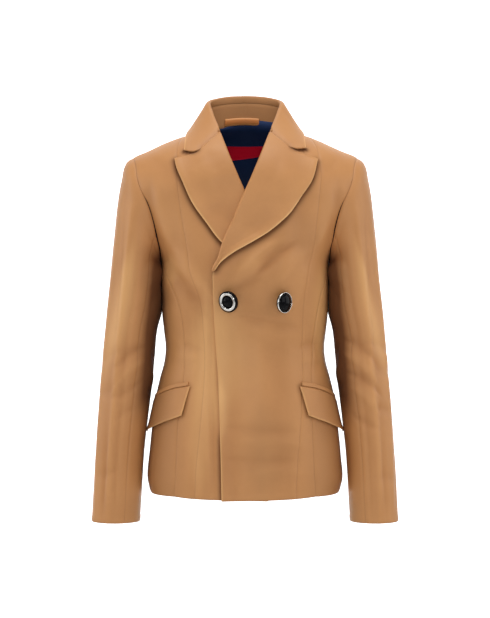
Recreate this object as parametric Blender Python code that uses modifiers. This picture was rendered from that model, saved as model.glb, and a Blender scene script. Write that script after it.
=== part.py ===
"""A short double-breasted leather jacket, worn hollow, with nobody inside.

The front faces -Y, +Z is up and the wearer's left is +X. The origin lies between the
shoulders, where the wearer carries it. All tables and sizes are in millimetres, and MM
turns them into metres where the meshes are made.

Every cloth piece is the middle surface of one layer of leather, moved out from the
figure's surface where it lies on another layer, and gets its thickness from Solidify.
A place on the figure is a girth (0 at centre front, 1 at the side, 2 at centre back) and
a height, which is the true height up to the chest and then runs on over the shoulder.
"""

import math

import bmesh
import bpy
import numpy as np
from mathutils import Matrix, Vector

MM = 0.001
WALL = 2.0            # one layer of leather
LAYER = 3.0           # from the middle of a layer to the middle of one lying on it
SEAM_GAP = 0.25       # each panel stops this far from its seam line
SHOULDER_GAP = 0.35   # the same at the shoulder and centre back seams
SLEEVE_GAP = 0.5      # the same at the sleeve's own seams
ARMHOLE_GAP = 1.05    # the same at the armhole, where the walls meet at an angle
NECK_RISE = 1.6       # the collar stand starts this far above the neck edge

# The figure's section at each height: an oval with squared corners.
SQUARENESS = 2.35
#        height, half width, front, back
TORSO = [(-602, 153.5, 123.5, 110.5),
         (-578, 161.5, 123.5, 112.0),
         (-530, 159.5, 121.0, 113.0),
         (-490, 155.5, 117.0, 112.0),
         (-455, 151.5, 112.5, 109.0),
         (-432, 148.0, 109.0, 106.0),
         (-400, 140.5, 103.5, 101.0),
         (-378, 134.5, 99.5, 96.5),
         (-353, 132.0, 97.0, 92.5),
         (-325, 134.8, 98.5, 91.0),
         (-300, 137.5, 103.0, 92.5),
         (-265, 138.5, 110.0, 95.5),
         (-230, 138.8, 116.5, 99.5),
         (-208, 139.5, 119.0, 102.0),
         (-197, 143.0, 119.5, 103.0),
         (-166, 163.0, 118.0, 105.5),
         (-124, 186.0, 113.5, 107.5),
         (-88, 211.0, 108.0, 108.0),
         (-31, 243.0, 103.0, 107.0),
         (20, 262.0, 98.0, 105.0),
         (85, 276.0, 96.0, 103.0)]
BUST = 7.0            # extra fullness that the front seams give over each bust
BUST_PLACE = (82.0, -212.0)
BUST_SPREAD = (46.0, 55.0)
# The shoulder ridge: y at the shoulder, more at the neck and its spread; then z at the
# middle, slope, droop per square millimetre, more at the neck and its spread, and the
# shoulder's end: where it is, more there and its spread.
RIDGE_Y = (6.0, 34.0, 60.0)
RIDGE_Z = (19.4, 0.025, 0.00156, 5.0, 45.0)
RIDGE_END = (188.0, 4.5, 20.0)
SHOULDER_REACH = 100.0  # the chest rounds over into the shoulder within this height
HEM_LEVEL = -595.5
HEM_DIP = 3.5         # lower at centre front and back than at the sides

LOW_ROWS = 12         # rows of faces from the hem to the underarm
TOP_ROWS = 8          # rows from the underarm to the shoulder
ROWS = LOW_ROWS + TOP_ROWS
UNDERARM = -204.0
FRONT_COLUMNS = 10
SIDE_FRONT_COLUMNS = 4
SIDE_PANEL_COLUMNS = 5
BACK_NECK_COLUMNS = 3  # of the back's columns, those that end at the neck edge
BACK_YOKE_COLUMNS = 1  # and from there to where the shaped front seam meets it
BACK_COLUMNS = 8

# The armhole: turn is 90 degrees at the shoulder point and -90 under the arm.
#          turn, girth, height
ARMHOLE = [(-90, 1.000, -208.0),
           (-75, 0.932, -205.0),
           (-60, 0.856, -196.8),
           (-45, 0.780, -183.5),
           (-30, 0.712, -166.0),
           (0, 0.642, -124.5),
           (30, 0.601, -81.0),
           (60, 0.541, -34.5),
           (90, 0.5125, 20.6)]
ARMHOLE_FRONT_END = -72.2   # turn at which the side panel's front seam meets the armhole
ON_BACK = 89.999      # mirrored, this is the shoulder point as the last point of the back

SHOULDER_END = 189.0  # distance from the middle to the shoulder point
NECK_POINT = 75.0     # to where the shoulder seam meets the collar
YOKE_SEAM = 99.0      # to where the shaped front seam meets the shoulder seam

# Shaped front seams: height and distance from the middle, up to near the shoulder.
FRONT_SEAM = {
    1: [(-600, 82.0), (-549, 84.0), (-509, 87.3), (-469, 90.7), (-398, 93.3), (-323, 94.0),
        (-274, 96.2), (-226, 103.4), (-187, 111.6), (-145, 116.6), (-105, 121.0), (-58, 124.0),
        (-25, 119.0)],
    -1: [(-600, 81.0), (-549, 79.3), (-501, 74.5), (-453, 69.8), (-398, 65.2), (-356, 65.2),
         (-323, 67.3), (-278, 73.0), (-223, 89.0), (-190, 94.0), (-122, 105.8), (-72, 111.3),
         (-25, 112.0)]}
SEAM_BENDS = 0.82     # share of its way up from the underarm where it leaves the table
# Seam between side front and side panel: height and distance from the middle.
SIDE_SEAM = {
    1: [(-600, 115.0), (-550, 112.3), (-476, 109.2), (-398, 109.0), (-340, 112.0),
        (-307, 116.5), (-265, 125.0), (-235, 133.0), (-204, 139.0)],
    -1: [(-600, 115.0), (-550, 112.3), (-476, 109.2), (-398, 99.7), (-340, 99.7),
         (-307, 103.0), (-284, 107.5), (-265, 115.0), (-235, 128.3), (-204, 139.0)]}
# Seam between side panel and back: height and girth.
BACK_SEAM = [(-600, 1.36), (-450, 1.36), (-355, 1.37), (-300, 1.33), (-265, 1.28),
             (-235, 1.20), (-204, 1.08)]

# Front edge and roll line of a front, measured from the middle towards its own side.
FRONT_EDGE = [(-602, -37.0), (-400, -43.4), (-300, -49.4), (-250, -50.8), (-226, -50.0),
              (-214, -44.8), (-181, -33.4), (-145, -17.6), (-98, 3.0), (-49, 23.8),
              (-19, 35.4), (-4, 41.0)]
BREAK = -226.0        # the lapel starts to turn back at this height
ROLL_TOP = -4.0       # and meets the collar at this one
ROLL_ROWS = 6         # rows of the front from the underarm up to there

# Neck edge: distance from the middle and distance behind the shoulder ridge.
#       place, x, behind        place runs from 0 at centre back to 1 at the roll line
NECK = [(0.00, 0.0, 26.0),
        (0.16, 28.0, 22.5),
        (0.32, 52.0, 14.0),
        (0.44, 68.0, 5.0),
        (0.50, 75.0, 0.0),
        (0.62, 73.0, -18.0),
        (0.80, 60.0, -44.0),
        (1.00, 41.4, -68.8)]

# The over front (wearer's left) rises where it laps on the under front and its lapel.
LAP_LAYER = 3.2
LAP_FADE = (57.0, 92.0)
LAP_DOUBLE = (-290.0, -245.0)
LAP_END = (-110.0, -30.0)

# Outer edge of each lapel, from the break to the peak: share of the way, x, z.
LAPEL_EDGE = {
    1: [(0.00, -47.0, -224.5), (0.10, -38.5, -212.8), (0.22, -17.5, -197.3),
        (0.35, 10.8, -182.5), (0.49, 40.2, -164.0), (0.62, 63.0, -143.5),
        (0.80, 90.6, -106.0), (0.92, 109.5, -76.0), (1.00, 117.0, -47.5)],
    -1: [(0.00, -46.5, -226.0), (0.12, -24.0, -216.0), (0.26, 8.0, -201.0),
         (0.40, 37.3, -181.7), (0.56, 63.3, -148.0), (0.72, 85.4, -115.0),
         (0.86, 100.5, -82.0), (0.95, 110.5, -59.0), (1.00, 113.5, -46.0)]}
NOTCH = {1: (73.0, -28.5), -1: (77.5, -35.5)}      # inner corner of the notch
ROLL_RISE = {1: [(-230, 1.0), (-150, 2.2), (-60, 3.6), (0, 4.6)],
             -1: [(-230, 0.0), (-105, 0.0), (-60, 2.2), (0, 4.6)]}
LAPEL_CLEAR = {1: 1.0, -1: 0.3}  # over the layer it lies on
LAPEL_ROWS = 12
LAPEL_COLUMNS = 10
LAPEL_NOSE_COLUMNS = 4  # of those, the ones that turn over the front's edge
LAPEL_NOSE_TURN = (0, 0, 32, 63, 90)
LAPEL_SPREAD = (0.0, 0.10, 0.26, 0.45, 0.65, 0.83, 1.0)
LAPEL_UNDER = -0.8    # its first edge lies this far under the front's middle surface
LAPEL_START = 0.4     # and its second one this far over it
LAPEL_ROLL = 0.7      # the roll's rise fades out over this share of the width
NOTCH_SHARE = 0.45    # share of the top edge that is sewn to the collar
NOSE = 2.1            # the lapel passes this far in front of the front's edge
NOSE_WIDTH = 3.2      # and turns over it within this width

# Collar, for one half: place along the neck, fold, middle and outer edge of the fall.
#         place,   fold x, y, z,        middle x, y, z,      edge x, behind, lift
COLLAR = [(0.00, 0.0, 58.0, 75.5, 0.0, 77.0, 45.0, 0.0, 52.0, 3.0),
          (0.16, 26.0, 54.5, 74.0, 34.0, 74.0, 44.0, 42.0, 50.0, 3.0),
          (0.32, 45.0, 42.0, 69.5, 61.5, 58.0, 41.0, 75.0, 41.0, 3.0),
          (0.44, 56.0, 24.0, 63.0, 77.0, 32.0, 36.0, 92.0, 23.0, 3.0),
          (0.52, 57.3, 8.0, 56.0, 81.0, 7.0, 31.0, 96.0, 0.0, 3.0),
          (0.64, 53.5, -9.0, 42.0, 81.0, -19.0, 18.0, 97.0, -26.0, 3.0),
          (0.80, 48.0, -28.5, 24.0, 77.5, -48.0, -1.0, 98.0, -55.0, 3.4),
          (0.975, 40.6, -55.5, 5.2, 74.8, -77.4, -23.2, 98.7, -81.0, 3.4)]
COLLAR_END = 0.975
COLLAR_SKEW = 2.4     # its ends are this much higher on the left, and lower on the right
COLLAR_SKEW_START = 0.8  # beyond this place
COLLAR_NOTCH = 2.6    # and dip this much where the notch starts, at this share of the fall
COLLAR_NOTCH_AT = (0.55, 0.16)  # with this spread
SKIN_SLOPE = 0.56     # how much the chest recedes for each millimetre up, near the notch
COLLAR_COLUMNS = 20
COLLAR_ROWS = 9
COLLAR_TURN = ((2, 45), (3, 95), (4, 145))  # rows and angles of the turn at the fold
COLLAR_FALL = ((5, 0.2), (6, 0.4), (7, 0.6), (8, 0.8), (9, 1.0))  # and of the fall
COLLAR_ROUND = 3.6    # radius at the fold,
COLLAR_SMALL = 0.16   # but no more than this share of the height from neck to fold
STAND_ROWS = 2
STAND_SHARE = (0.76, 0.55)  # the stand reaches this share of the way to the fold,
STAND_LESS = (0.5, 0.96)    # and the second one at its ends, between these places
STAND_GAP = 0.7       # where the collar's inner edge meets the stand

# Sleeve rings: run down the sleeve, inner x and z, outer x and z, middle y, half depth.
SLEEVE = [(0, 142.5, -206.0, 189.0, -36.5, 2.0, 70.0),
          (9, 142.0, -213.0, 198.5, -44.0, 2.0, 71.0),
          (30, 138.0, -222.0, 207.0, -77.0, 3.0, 74.0),
          (60, 134.5, -232.0, 213.5, -122.0, 3.0, 76.0),
          (92, 134.0, -243.0, 218.3, -168.0, 3.0, 75.0),
          (124, 134.5, -257.0, 222.7, -215.0, 3.0, 73.0),
          (165, 138.0, -286.0, 228.3, -272.0, 2.0, 69.5),
          (212, 148.5, -325.0, 233.0, -325.0, 0.0, 66.0),
          (257, 152.6, -370.0, 237.0, -370.0, -2.0, 62.5),
          (302, 156.8, -415.0, 240.6, -415.0, -5.0, 59.5),
          (352, 162.8, -465.0, 244.2, -465.0, -9.0, 56.5),
          (402, 168.4, -515.0, 247.5, -515.0, -13.0, 53.0),
          (452, 171.8, -565.0, 250.5, -565.0, -17.0, 50.0),
          (497, 174.2, -609.0, 252.8, -609.0, -20.0, 47.0),
          (531, 176.0, -641.5, 254.3, -641.5, -22.0, 45.0)]
SLEEVE_LENGTH = 531.0
SLEEVE_JOIN = 60.0    # the sleeve takes up the armhole's own shape within this run
UNDERARM_CLEAR = 3.0  # the sleeve starts this far out from the body under the arm
ARM_CLEAR = 3.9       # and lies against it at this distance below
#                turn of the front seam at the armhole and below, and of the back seam
SLEEVE_FRONT_SEAM = (-31.65, -25.0)
SLEEVE_BACK_SEAM = (211.65, 205.0)
TOP_SLEEVE_COLUMNS = 10
UNDER_SLEEVE_COLUMNS = 6
SLEEVE_RUNS = (0, 8, 24, 48, 80, 115, 160, 210, 255, 300, 350, 400, 450, 495, 531)

# Pocket flap, from its front end to its back end, and its welt above: places on the
# figure as distance from the middle and height for the front, girth and height behind.
FLAP_TOP = [(0.0, 0.419, -415.5), (0.33, 0.60, -421.5), (0.66, 0.80, -432.5),
            (1.0, 1.02, -446.0)]
FLAP_BOTTOM = [(0.0, 0.461, -463.0), (0.33, 0.59, -472.0), (0.66, 0.78, -484.0),
               (1.0, 1.03, -495.5)]
FLAP_LIFT = 2.9       # over the panel at the top edge
FLAP_FLARE = (1.8, 5.6)  # and this much more at the bottom edge, in front and behind
FLAP_BEND = 1.3
FLAP_COLUMNS = 6
FLAP_ROWS = 3
WELT_ENDS = (0.04, 0.94)  # share of the flap's top edge that the welt runs along
WELT_LIFT = 2.4
WELT_WALL = 1.2
WELT_HEIGHT = 6.6
WELT_GAP = 0.7

# Buttons: distance from the middle, height, the turn of the face to either side, and how
# far the back stands off the front before that turn.
BUTTONS = {"edge": (-23.2, -273.5, -31.0, 0.0, -0.7), "side": (58.3, -275.2, 35.0, 10.0, -0.6)}
BUTTON_RADIUS = 17.4
# Radius and height of the rim's middle and its size, of the seat for ring and dome, the
# belly under the rim, the dome, and the ring's middle and half its sizes.
BUTTON_SHAPES = {
    "edge": {"rim": (15.6, 7.0, 1.9),
             "seat": [(0, 6.4), (9.4, 6.4), (9.4, 7.2), (16.2, 7.2)],
             "belly": [(17.0, 2.6), (14.5, 0.5)],
             "dome": [(0, 9.8), (3.4, 9.5), (6.4, 8.8), (8.4, 7.9), (9.0, 6.9), (8.8, 6.7), (0, 6.7)],
             "ring": (12.5, 7.5, 3.1, 2.4)},
    "side": {"rim": (15.9, 1.8, 1.2),
             "seat": [(0, 3.0), (15.9, 3.0)],
             "belly": [(12.0, 0.2)],
             "dome": [(0, 10.0), (5.2, 9.6), (9.8, 8.4), (13.2, 6.8), (15.0, 5.1), (15.2, 3.3), (0, 3.3)],
             "ring": (16.4, 3.3, 0.9, 1.9)}}
BUTTON_FOOT_RADIUS = 7.5
BUTTON_FOOT = 0.55    # the foot reaches this share of the way from the back to the front
BUTTON_TILT = 0.98    # its back stands off by this share of how far its rim dips when turned
BUTTON_STEPS = 20
RIM_ARC = (62, -62, 4)  # angles of the rim's ends and number of its faces
RING_ARC = (180, 0, 6)  # and the ring's

LOOP_ENDS = (-34.5, 24.0)
LOOP_HEIGHT = 7.0
LOOP_UP = 6.0         # its lower edge lies this far up the stand
LOOP_FOOT = 19.5      # height of the stand's foot at centre back
LOOP_WALL = 1.0
LOOP_COLUMNS = 6
LOOP_OFF = 2.3        # from the stand's middle surface to the loop's at its ends
LOOP_BOW = 1.4        # and how much further out it bows between them

LINING_DEPTH = 5.4    # from the back's middle surface in to the lining's
LINING_WALL = 1.0
LINING_TOP = 3.0      # its top edge lies this far behind the neck edge
LINING_BOTTOM = 560.0
LINING_NECK = 0.46    # place along the neck edge to which its top edge reaches
LINING_WIDTH = 0.62   # girth from centre back to its side edges
LINING_SPREAD = 170.0  # the depth by which it has that width
LINING_COLUMNS = 8
LINING_ROWS = 9

LEATHER = ((0.50, 0.29, 0.14), 0.42, 0.0)
LEATHER_INSIDE = ((0.46, 0.27, 0.13), 0.45, 0.0)
LINING_CLOTH = ((0.01, 0.02, 0.06), 0.55, 0.0)
LOOP_LEATHER = ((0.48, 0.19, 0.05), 0.45, 0.0)
BUTTON_BLACK = ((0.006, 0.006, 0.007), 0.08, 0.0)
BUTTON_METAL = ((0.80, 0.80, 0.80), 0.12, 1.0)


class Curve:
    """Smooth curve through the rows of a short table, whose first column is the key."""

    def __init__(self, rows):
        table = np.array(rows, dtype=float)
        self.keys = table[:, 0]
        self.values = table[:, 1:]
        steps = np.diff(self.keys)[:, None]
        rises = np.diff(self.values, axis=0) / steps
        inner = (rises[:-1] * steps[1:] + rises[1:] * steps[:-1]) / (steps[1:] + steps[:-1])
        self.slopes = np.vstack([rises[:1], inner, rises[-1:]])

    def __call__(self, at):
        at = np.clip(np.asarray(at, dtype=float), self.keys[0], self.keys[-1])
        low = np.clip(np.searchsorted(self.keys, at) - 1, 0, len(self.keys) - 2)
        step = (self.keys[low + 1] - self.keys[low])[..., None]
        t = (at - self.keys[low])[..., None] / step
        start = (1 + 2 * t) * (1 - t) ** 2 * self.values[low]
        end = t * t * (3 - 2 * t) * self.values[low + 1]
        bend = t * (1 - t) ** 2 * step * self.slopes[low] - t * t * (1 - t) * step * self.slopes[low + 1]
        return np.moveaxis(start + end + bend, -1, 0)


torso = Curve(TORSO)
armhole_half = Curve(ARMHOLE)
neck_edge = Curve(NECK)
sleeve_ring = Curve(SLEEVE)
collar_row = Curve(COLLAR)
front_edge = Curve(FRONT_EDGE)
back_seam = Curve(BACK_SEAM)
flap_top = Curve(FLAP_TOP)
flap_bottom = Curve(FLAP_BOTTOM)


def ease(value, start, end):
    """0 before start, 1 after end, and smooth between."""
    t = np.clip((value - start) / (end - start), 0.0, 1.0)
    return t * t * (3 - 2 * t)


def ridge(x):
    """y and z of the shoulder ridge at a distance from the middle."""
    x = np.abs(x)
    behind, at_neck, spread = RIDGE_Y
    y = behind + at_neck * np.exp(-(x / spread) ** 2)
    level, slope, droop, at_neck, spread = RIDGE_Z
    z = level - slope * x - droop * x * x + at_neck * np.exp(-(x / spread) ** 2)
    end, at_end, spread = RIDGE_END
    return y, z + at_end * np.exp(-((x - end) / spread) ** 2)


def figure(girth, height):
    """Points of the figure's surface, as an array whose last axis is x, y, z."""
    half_width, front, back = torso(height)
    turn = np.asarray(girth) * math.pi / 2
    across = np.sin(turn)
    x = half_width * across
    flat = np.clip(1 - np.abs(across) ** SQUARENESS, 0, 1) ** (1 / SQUARENESS)
    is_front = np.cos(turn) >= 0
    y = np.where(is_front, -front, back) * flat
    off_x = (np.abs(x) - BUST_PLACE[0]) / BUST_SPREAD[0]
    off_z = (height - BUST_PLACE[1]) / BUST_SPREAD[1]
    y = y - np.where(is_front, BUST * np.exp(-off_x ** 2 - off_z ** 2), 0) * np.minimum(flat * 2, 1)
    ridge_y, ridge_z = ridge(x)
    over = np.clip((height - ridge_z) / SHOULDER_REACH + 1, 0, math.pi / 2)
    z = np.where(over > 0, ridge_z + SHOULDER_REACH * (np.sin(over) - 1), height)
    y = np.where(over > 0, ridge_y + (y - ridge_y) * np.cos(over), y)
    return np.stack([x, y, z], axis=-1)


def skin(girth, height, out=0.0):
    """Points of the figure's surface, moved out along its normal."""
    girth = np.asarray(girth, dtype=float)
    height = np.asarray(height, dtype=float)
    here = figure(girth, height)
    along = figure(girth + 0.002, height) - figure(girth - 0.002, height)
    up = here - figure(girth, height - 0.2)
    normal = np.cross(along, up)
    normal /= np.linalg.norm(normal, axis=-1, keepdims=True)
    return here + normal * np.asarray(out)[..., None]


def front_place(x, z):
    """Girth and height of a point of the front, from its x and z."""
    ridge_z = ridge(x)[1]
    over = np.clip((z - ridge_z) / SHOULDER_REACH + 1, 0, 1)
    height = np.where(over > 0, ridge_z - SHOULDER_REACH * (1 - np.arcsin(over)), z)
    girth = np.arcsin(np.clip(x / torso(height)[0], -1, 1)) * 2 / math.pi
    return girth, height


def yoke_place(x, behind):
    """Girth and height of a point at a distance behind the shoulder ridge."""
    height = ridge(x)[1] + SHOULDER_REACH * (math.pi / 2 - 1) - np.abs(behind)
    girth = np.arcsin(np.clip(x / torso(height)[0], -1, 1)) * 2 / math.pi
    return np.where(np.asarray(behind) > 0, 2 - girth, girth), height


def hem(girth):
    """Height of the hem at a girth."""
    return HEM_LEVEL - HEM_DIP * np.cos(girth * math.pi)


def low_height(row, girth):
    """Height of a row below the underarm on a seam that ends at the given girth."""
    bottom = hem(girth)
    return bottom + (UNDERARM - bottom) * row / LOW_ROWS


def armhole(turn):
    """Girth and height on the armhole; a turn past 90 degrees lies on the back."""
    turn = (np.asarray(turn, dtype=float) + 90) % 360 - 90
    behind = turn > 90
    girth, height = armhole_half(np.where(behind, 180 - turn, turn))
    return np.where(behind, 2 - girth, girth), height


def shaped_seam(side, row):
    """The princess seam, by row from hem to shoulder."""
    low = low_height(np.minimum(row, LOW_ROWS), 0.4)
    top = (row - LOW_ROWS) / TOP_ROWS
    rows = FRONT_SEAM[side]
    end_z = rows[-1][0]
    z = np.where(row <= LOW_ROWS, low, UNDERARM + (end_z - UNDERARM) * np.minimum(top / SEAM_BENDS, 1))
    x = Curve(rows)(z)[0]
    girth, height = front_place(x, z)
    share = np.clip((top - SEAM_BENDS) / (1 - SEAM_BENDS), 0, 1)
    end_girth, end_height = yoke_place(np.full_like(x, YOKE_SEAM), np.zeros_like(x))
    return girth + (end_girth - girth) * share, height + (end_height - height) * share


def side_seam(side, row):
    """Seam between side front and side panel, which runs on up the front armhole."""
    z = low_height(np.minimum(row, LOW_ROWS), 0.6)
    x = Curve(SIDE_SEAM[side])(z)[0]
    girth = np.arcsin(np.clip(x / torso(z)[0], -1, 1)) * 2 / math.pi
    share = np.clip((row - LOW_ROWS) / TOP_ROWS, 0, 1)
    on_hole = armhole(ARMHOLE_FRONT_END + (90 - ARMHOLE_FRONT_END) * share)
    joined = ease(row, LOW_ROWS - 1, LOW_ROWS)
    start = armhole(ARMHOLE_FRONT_END)
    girth = np.where(row > LOW_ROWS, on_hole[0], girth + (start[0] - girth) * joined)
    return girth, np.where(row > LOW_ROWS, on_hole[1], z + (start[1] - z) * joined)


def rear_seam(side, row):
    """Seam between side panel and back, which runs on up the back armhole."""
    z = low_height(np.minimum(row, LOW_ROWS), 1.36)
    share = np.clip((row - LOW_ROWS) / TOP_ROWS, 0, 1)
    on_hole = armhole(180 - (ARMHOLE_FRONT_END + (ON_BACK - ARMHOLE_FRONT_END) * share))
    joined = ease(row, LOW_ROWS - 1, LOW_ROWS)
    start = armhole(180 - ARMHOLE_FRONT_END)
    girth = back_seam(z)[0]
    girth = np.where(row > LOW_ROWS, on_hole[0], girth + (start[0] - girth) * joined)
    return girth, np.where(row > LOW_ROWS, on_hole[1], z + (start[1] - z) * joined)


def centre_back(side, row):
    """The centre back seam, from the hem to the nape."""
    low = low_height(np.minimum(row, LOW_ROWS), 2.0)
    top = yoke_place(np.zeros_like(row), np.full_like(row, NECK[0][2]))[1]
    share = np.clip((row - LOW_ROWS) / TOP_ROWS, 0, 1)
    height = np.where(row <= LOW_ROWS, low, UNDERARM + (top - UNDERARM) * share)
    return np.full_like(height, 2.0), height


def opening_edge(side, row):
    """Front edge, roll line and front neck edge of a front, by row."""
    low = low_height(np.minimum(row, LOW_ROWS), 0.0)
    share = np.clip((row - LOW_ROWS) / ROLL_ROWS, 0, 1)
    z = np.where(row <= LOW_ROWS, low, UNDERARM + (ROLL_TOP - UNDERARM) * share)
    girth, height = front_place(front_edge(z)[0], z)
    place = 1 - 0.5 * np.clip((row - LOW_ROWS - ROLL_ROWS) / (TOP_ROWS - ROLL_ROWS), 0, 1)
    neck_girth, neck_height = yoke_place(*neck_edge(place))
    above = row > LOW_ROWS + ROLL_ROWS
    return np.where(above, neck_girth, girth), np.where(above, neck_height, height)


def fill(left, right, bottom, top, s, v):
    """Girth and height inside four edges, each given as a function of its share."""
    parts = []
    for axis in (0, 1):
        side_to_side = (1 - s) * left(v)[axis] + s * right(v)[axis]
        up_and_down = (1 - v) * bottom(s)[axis] + v * top(s)[axis]
        corners = ((1 - s) * ((1 - v) * left(0 * v)[axis] + v * left(0 * v + 1)[axis])
                   + s * ((1 - v) * right(0 * v)[axis] + v * right(0 * v + 1)[axis]))
        parts.append(side_to_side + up_and_down - corners)
    return parts


def straight(edge_a, edge_b, v):
    """A straight bottom edge between the starts of two seams."""
    start = [float(np.ravel(value)[0]) for value in edge_a(np.array([float(v)]))]
    end = [float(np.ravel(value)[0]) for value in edge_b(np.array([float(v)]))]
    return lambda s: tuple(start[i] + (end[i] - start[i]) * s for i in (0, 1))


def lap_lift(x, z):
    """How far the over front's middle surface is moved out at a point."""
    lift = LAP_LAYER * (1 + ease(z, *LAP_DOUBLE))
    return lift * (1 - ease(x, *LAP_FADE)) * (1 - ease(z, *LAP_END))


def front_panel(side, s, v):
    """A front, from its edge and roll line to the shaped seam."""
    def left(w):
        return opening_edge(side, w * ROWS)

    def right(w):
        return shaped_seam(side, w * ROWS)

    def top(w):
        return yoke_place(NECK_POINT + (YOKE_SEAM - NECK_POINT) * w, 0 * w)

    girth, height = fill(left, right, straight(left, right, 0), top, s, v)
    if side < 0:
        return skin(girth, height)
    flat = skin(girth, height)
    return skin(girth, height, lap_lift(flat[..., 0], flat[..., 2]))


def side_front(side, s, v):
    """A side front, from the shaped seam to the side seam and armhole."""
    def left(w):
        return shaped_seam(side, w * ROWS)

    def right(w):
        return side_seam(side, w * ROWS)

    def top(w):
        return yoke_place(YOKE_SEAM + (SHOULDER_END - YOKE_SEAM) * w, 0 * w)

    return skin(*fill(left, right, straight(left, right, 0), top, s, v))


def side_panel(side, s, v):
    """A side panel, from hem to armhole."""
    def left(w):
        return side_seam(side, w * LOW_ROWS)

    def right(w):
        return rear_seam(side, w * LOW_ROWS)

    def top(w):
        return armhole(ARMHOLE_FRONT_END - (180 + 2 * ARMHOLE_FRONT_END) * w)

    return skin(*fill(left, right, straight(left, right, 0), top, s, v))


def back_top_x(s):
    """Distance from the middle of the back's top edge; even steps match the fronts."""
    column = s * BACK_COLUMNS
    yoke = BACK_NECK_COLUMNS + BACK_YOKE_COLUMNS
    keys = [0, BACK_NECK_COLUMNS, yoke, BACK_COLUMNS]
    return np.interp(column, keys, [0, NECK_POINT, YOKE_SEAM, SHOULDER_END])


def back_panel(side, s, v):
    """A back, from the centre back seam to the side panel and armhole."""
    def left(w):
        return centre_back(side, w * ROWS)

    def right(w):
        return rear_seam(side, w * ROWS)

    def top(w):
        x = back_top_x(w)
        place = np.interp(x, neck_edge(np.linspace(0, 0.5, 60))[0], np.linspace(0, 0.5, 60))
        behind = np.where(x < NECK_POINT, neck_edge(place)[1], 0.001)
        return yoke_place(x, np.maximum(behind, 0.001))

    return skin(*fill(left, right, straight(left, right, 0), top, s, v))


def sleeve_point(turn, run):
    """A point of the sleeve: turn is 0 in front, 90 on the outside, 180 behind."""
    inner_x, inner_z, outer_x, outer_z, middle_y, depth = sleeve_ring(run)
    first = sleeve_ring(0 * run)
    angle = np.radians(turn)

    def ring(columns):
        return np.stack([(columns[0] + columns[2]) / 2 + (columns[2] - columns[0]) / 2 * np.sin(angle),
                         columns[4] - columns[5] * np.cos(angle),
                         (columns[1] + columns[3]) / 2 + (columns[3] - columns[1]) / 2 * np.sin(angle)],
                        axis=-1)

    start = skin(*armhole(turn))
    start[..., 0] += UNDERARM_CLEAR * np.clip(-np.sin(angle), 0, 1) ** 3
    fade = np.clip(1 - run / SLEEVE_JOIN, 0, 1)[..., None] ** 2
    points = ring((inner_x, inner_z, outer_x, outer_z, middle_y, depth)) + (start - ring(first)) * fade
    half_width, front, back = torso(points[..., 2])
    inside = np.abs(points[..., 1]) / np.where(points[..., 1] < 0, front, back)
    side = half_width * np.clip(1 - inside ** SQUARENESS, 0, 1) ** (1 / SQUARENESS) + ARM_CLEAR
    push = np.clip(side - points[..., 0], 0, None)
    points[..., 0] += push * (1 - ease(points[..., 2], UNDERARM - 8, UNDERARM))
    return points


def sleeve_seam(pair, run):
    """Turn of a sleeve seam at a run."""
    return pair[0] + (pair[1] - pair[0]) * ease(run, 0, 120)


def sleeve_run(v):
    """Run of a row share; rows lie closer near the armhole."""
    return np.interp(v, np.linspace(0, 1, len(SLEEVE_RUNS)), SLEEVE_RUNS)


def top_sleeve(side, s, v):
    """The sleeve's outer piece, from its front seam over the outside to its back seam."""
    run = sleeve_run(v)
    start = sleeve_seam(SLEEVE_FRONT_SEAM, run)
    end = sleeve_seam(SLEEVE_BACK_SEAM, run)
    return sleeve_point(start + (end - start) * s, run)


def under_sleeve(side, s, v):
    """The sleeve's inner piece, from the back seam under the arm to the front seam."""
    run = sleeve_run(v)
    start = sleeve_seam(SLEEVE_BACK_SEAM, run)
    end = sleeve_seam(SLEEVE_FRONT_SEAM, run) + 360
    return sleeve_point(start + (end - start) * s, run)


def lapel_top(side, s):
    """Top edge of a lapel: the gorge, then the edge from the notch out to the peak."""
    peak = LAPEL_EDGE[side][-1][1:]
    notch = NOTCH[side]
    start = (front_edge(ROLL_TOP)[0], ROLL_TOP)
    return [np.interp(s, (0, NOTCH_SHARE, 1), (start[i], notch[i], peak[i])) for i in (0, 1)]


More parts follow.
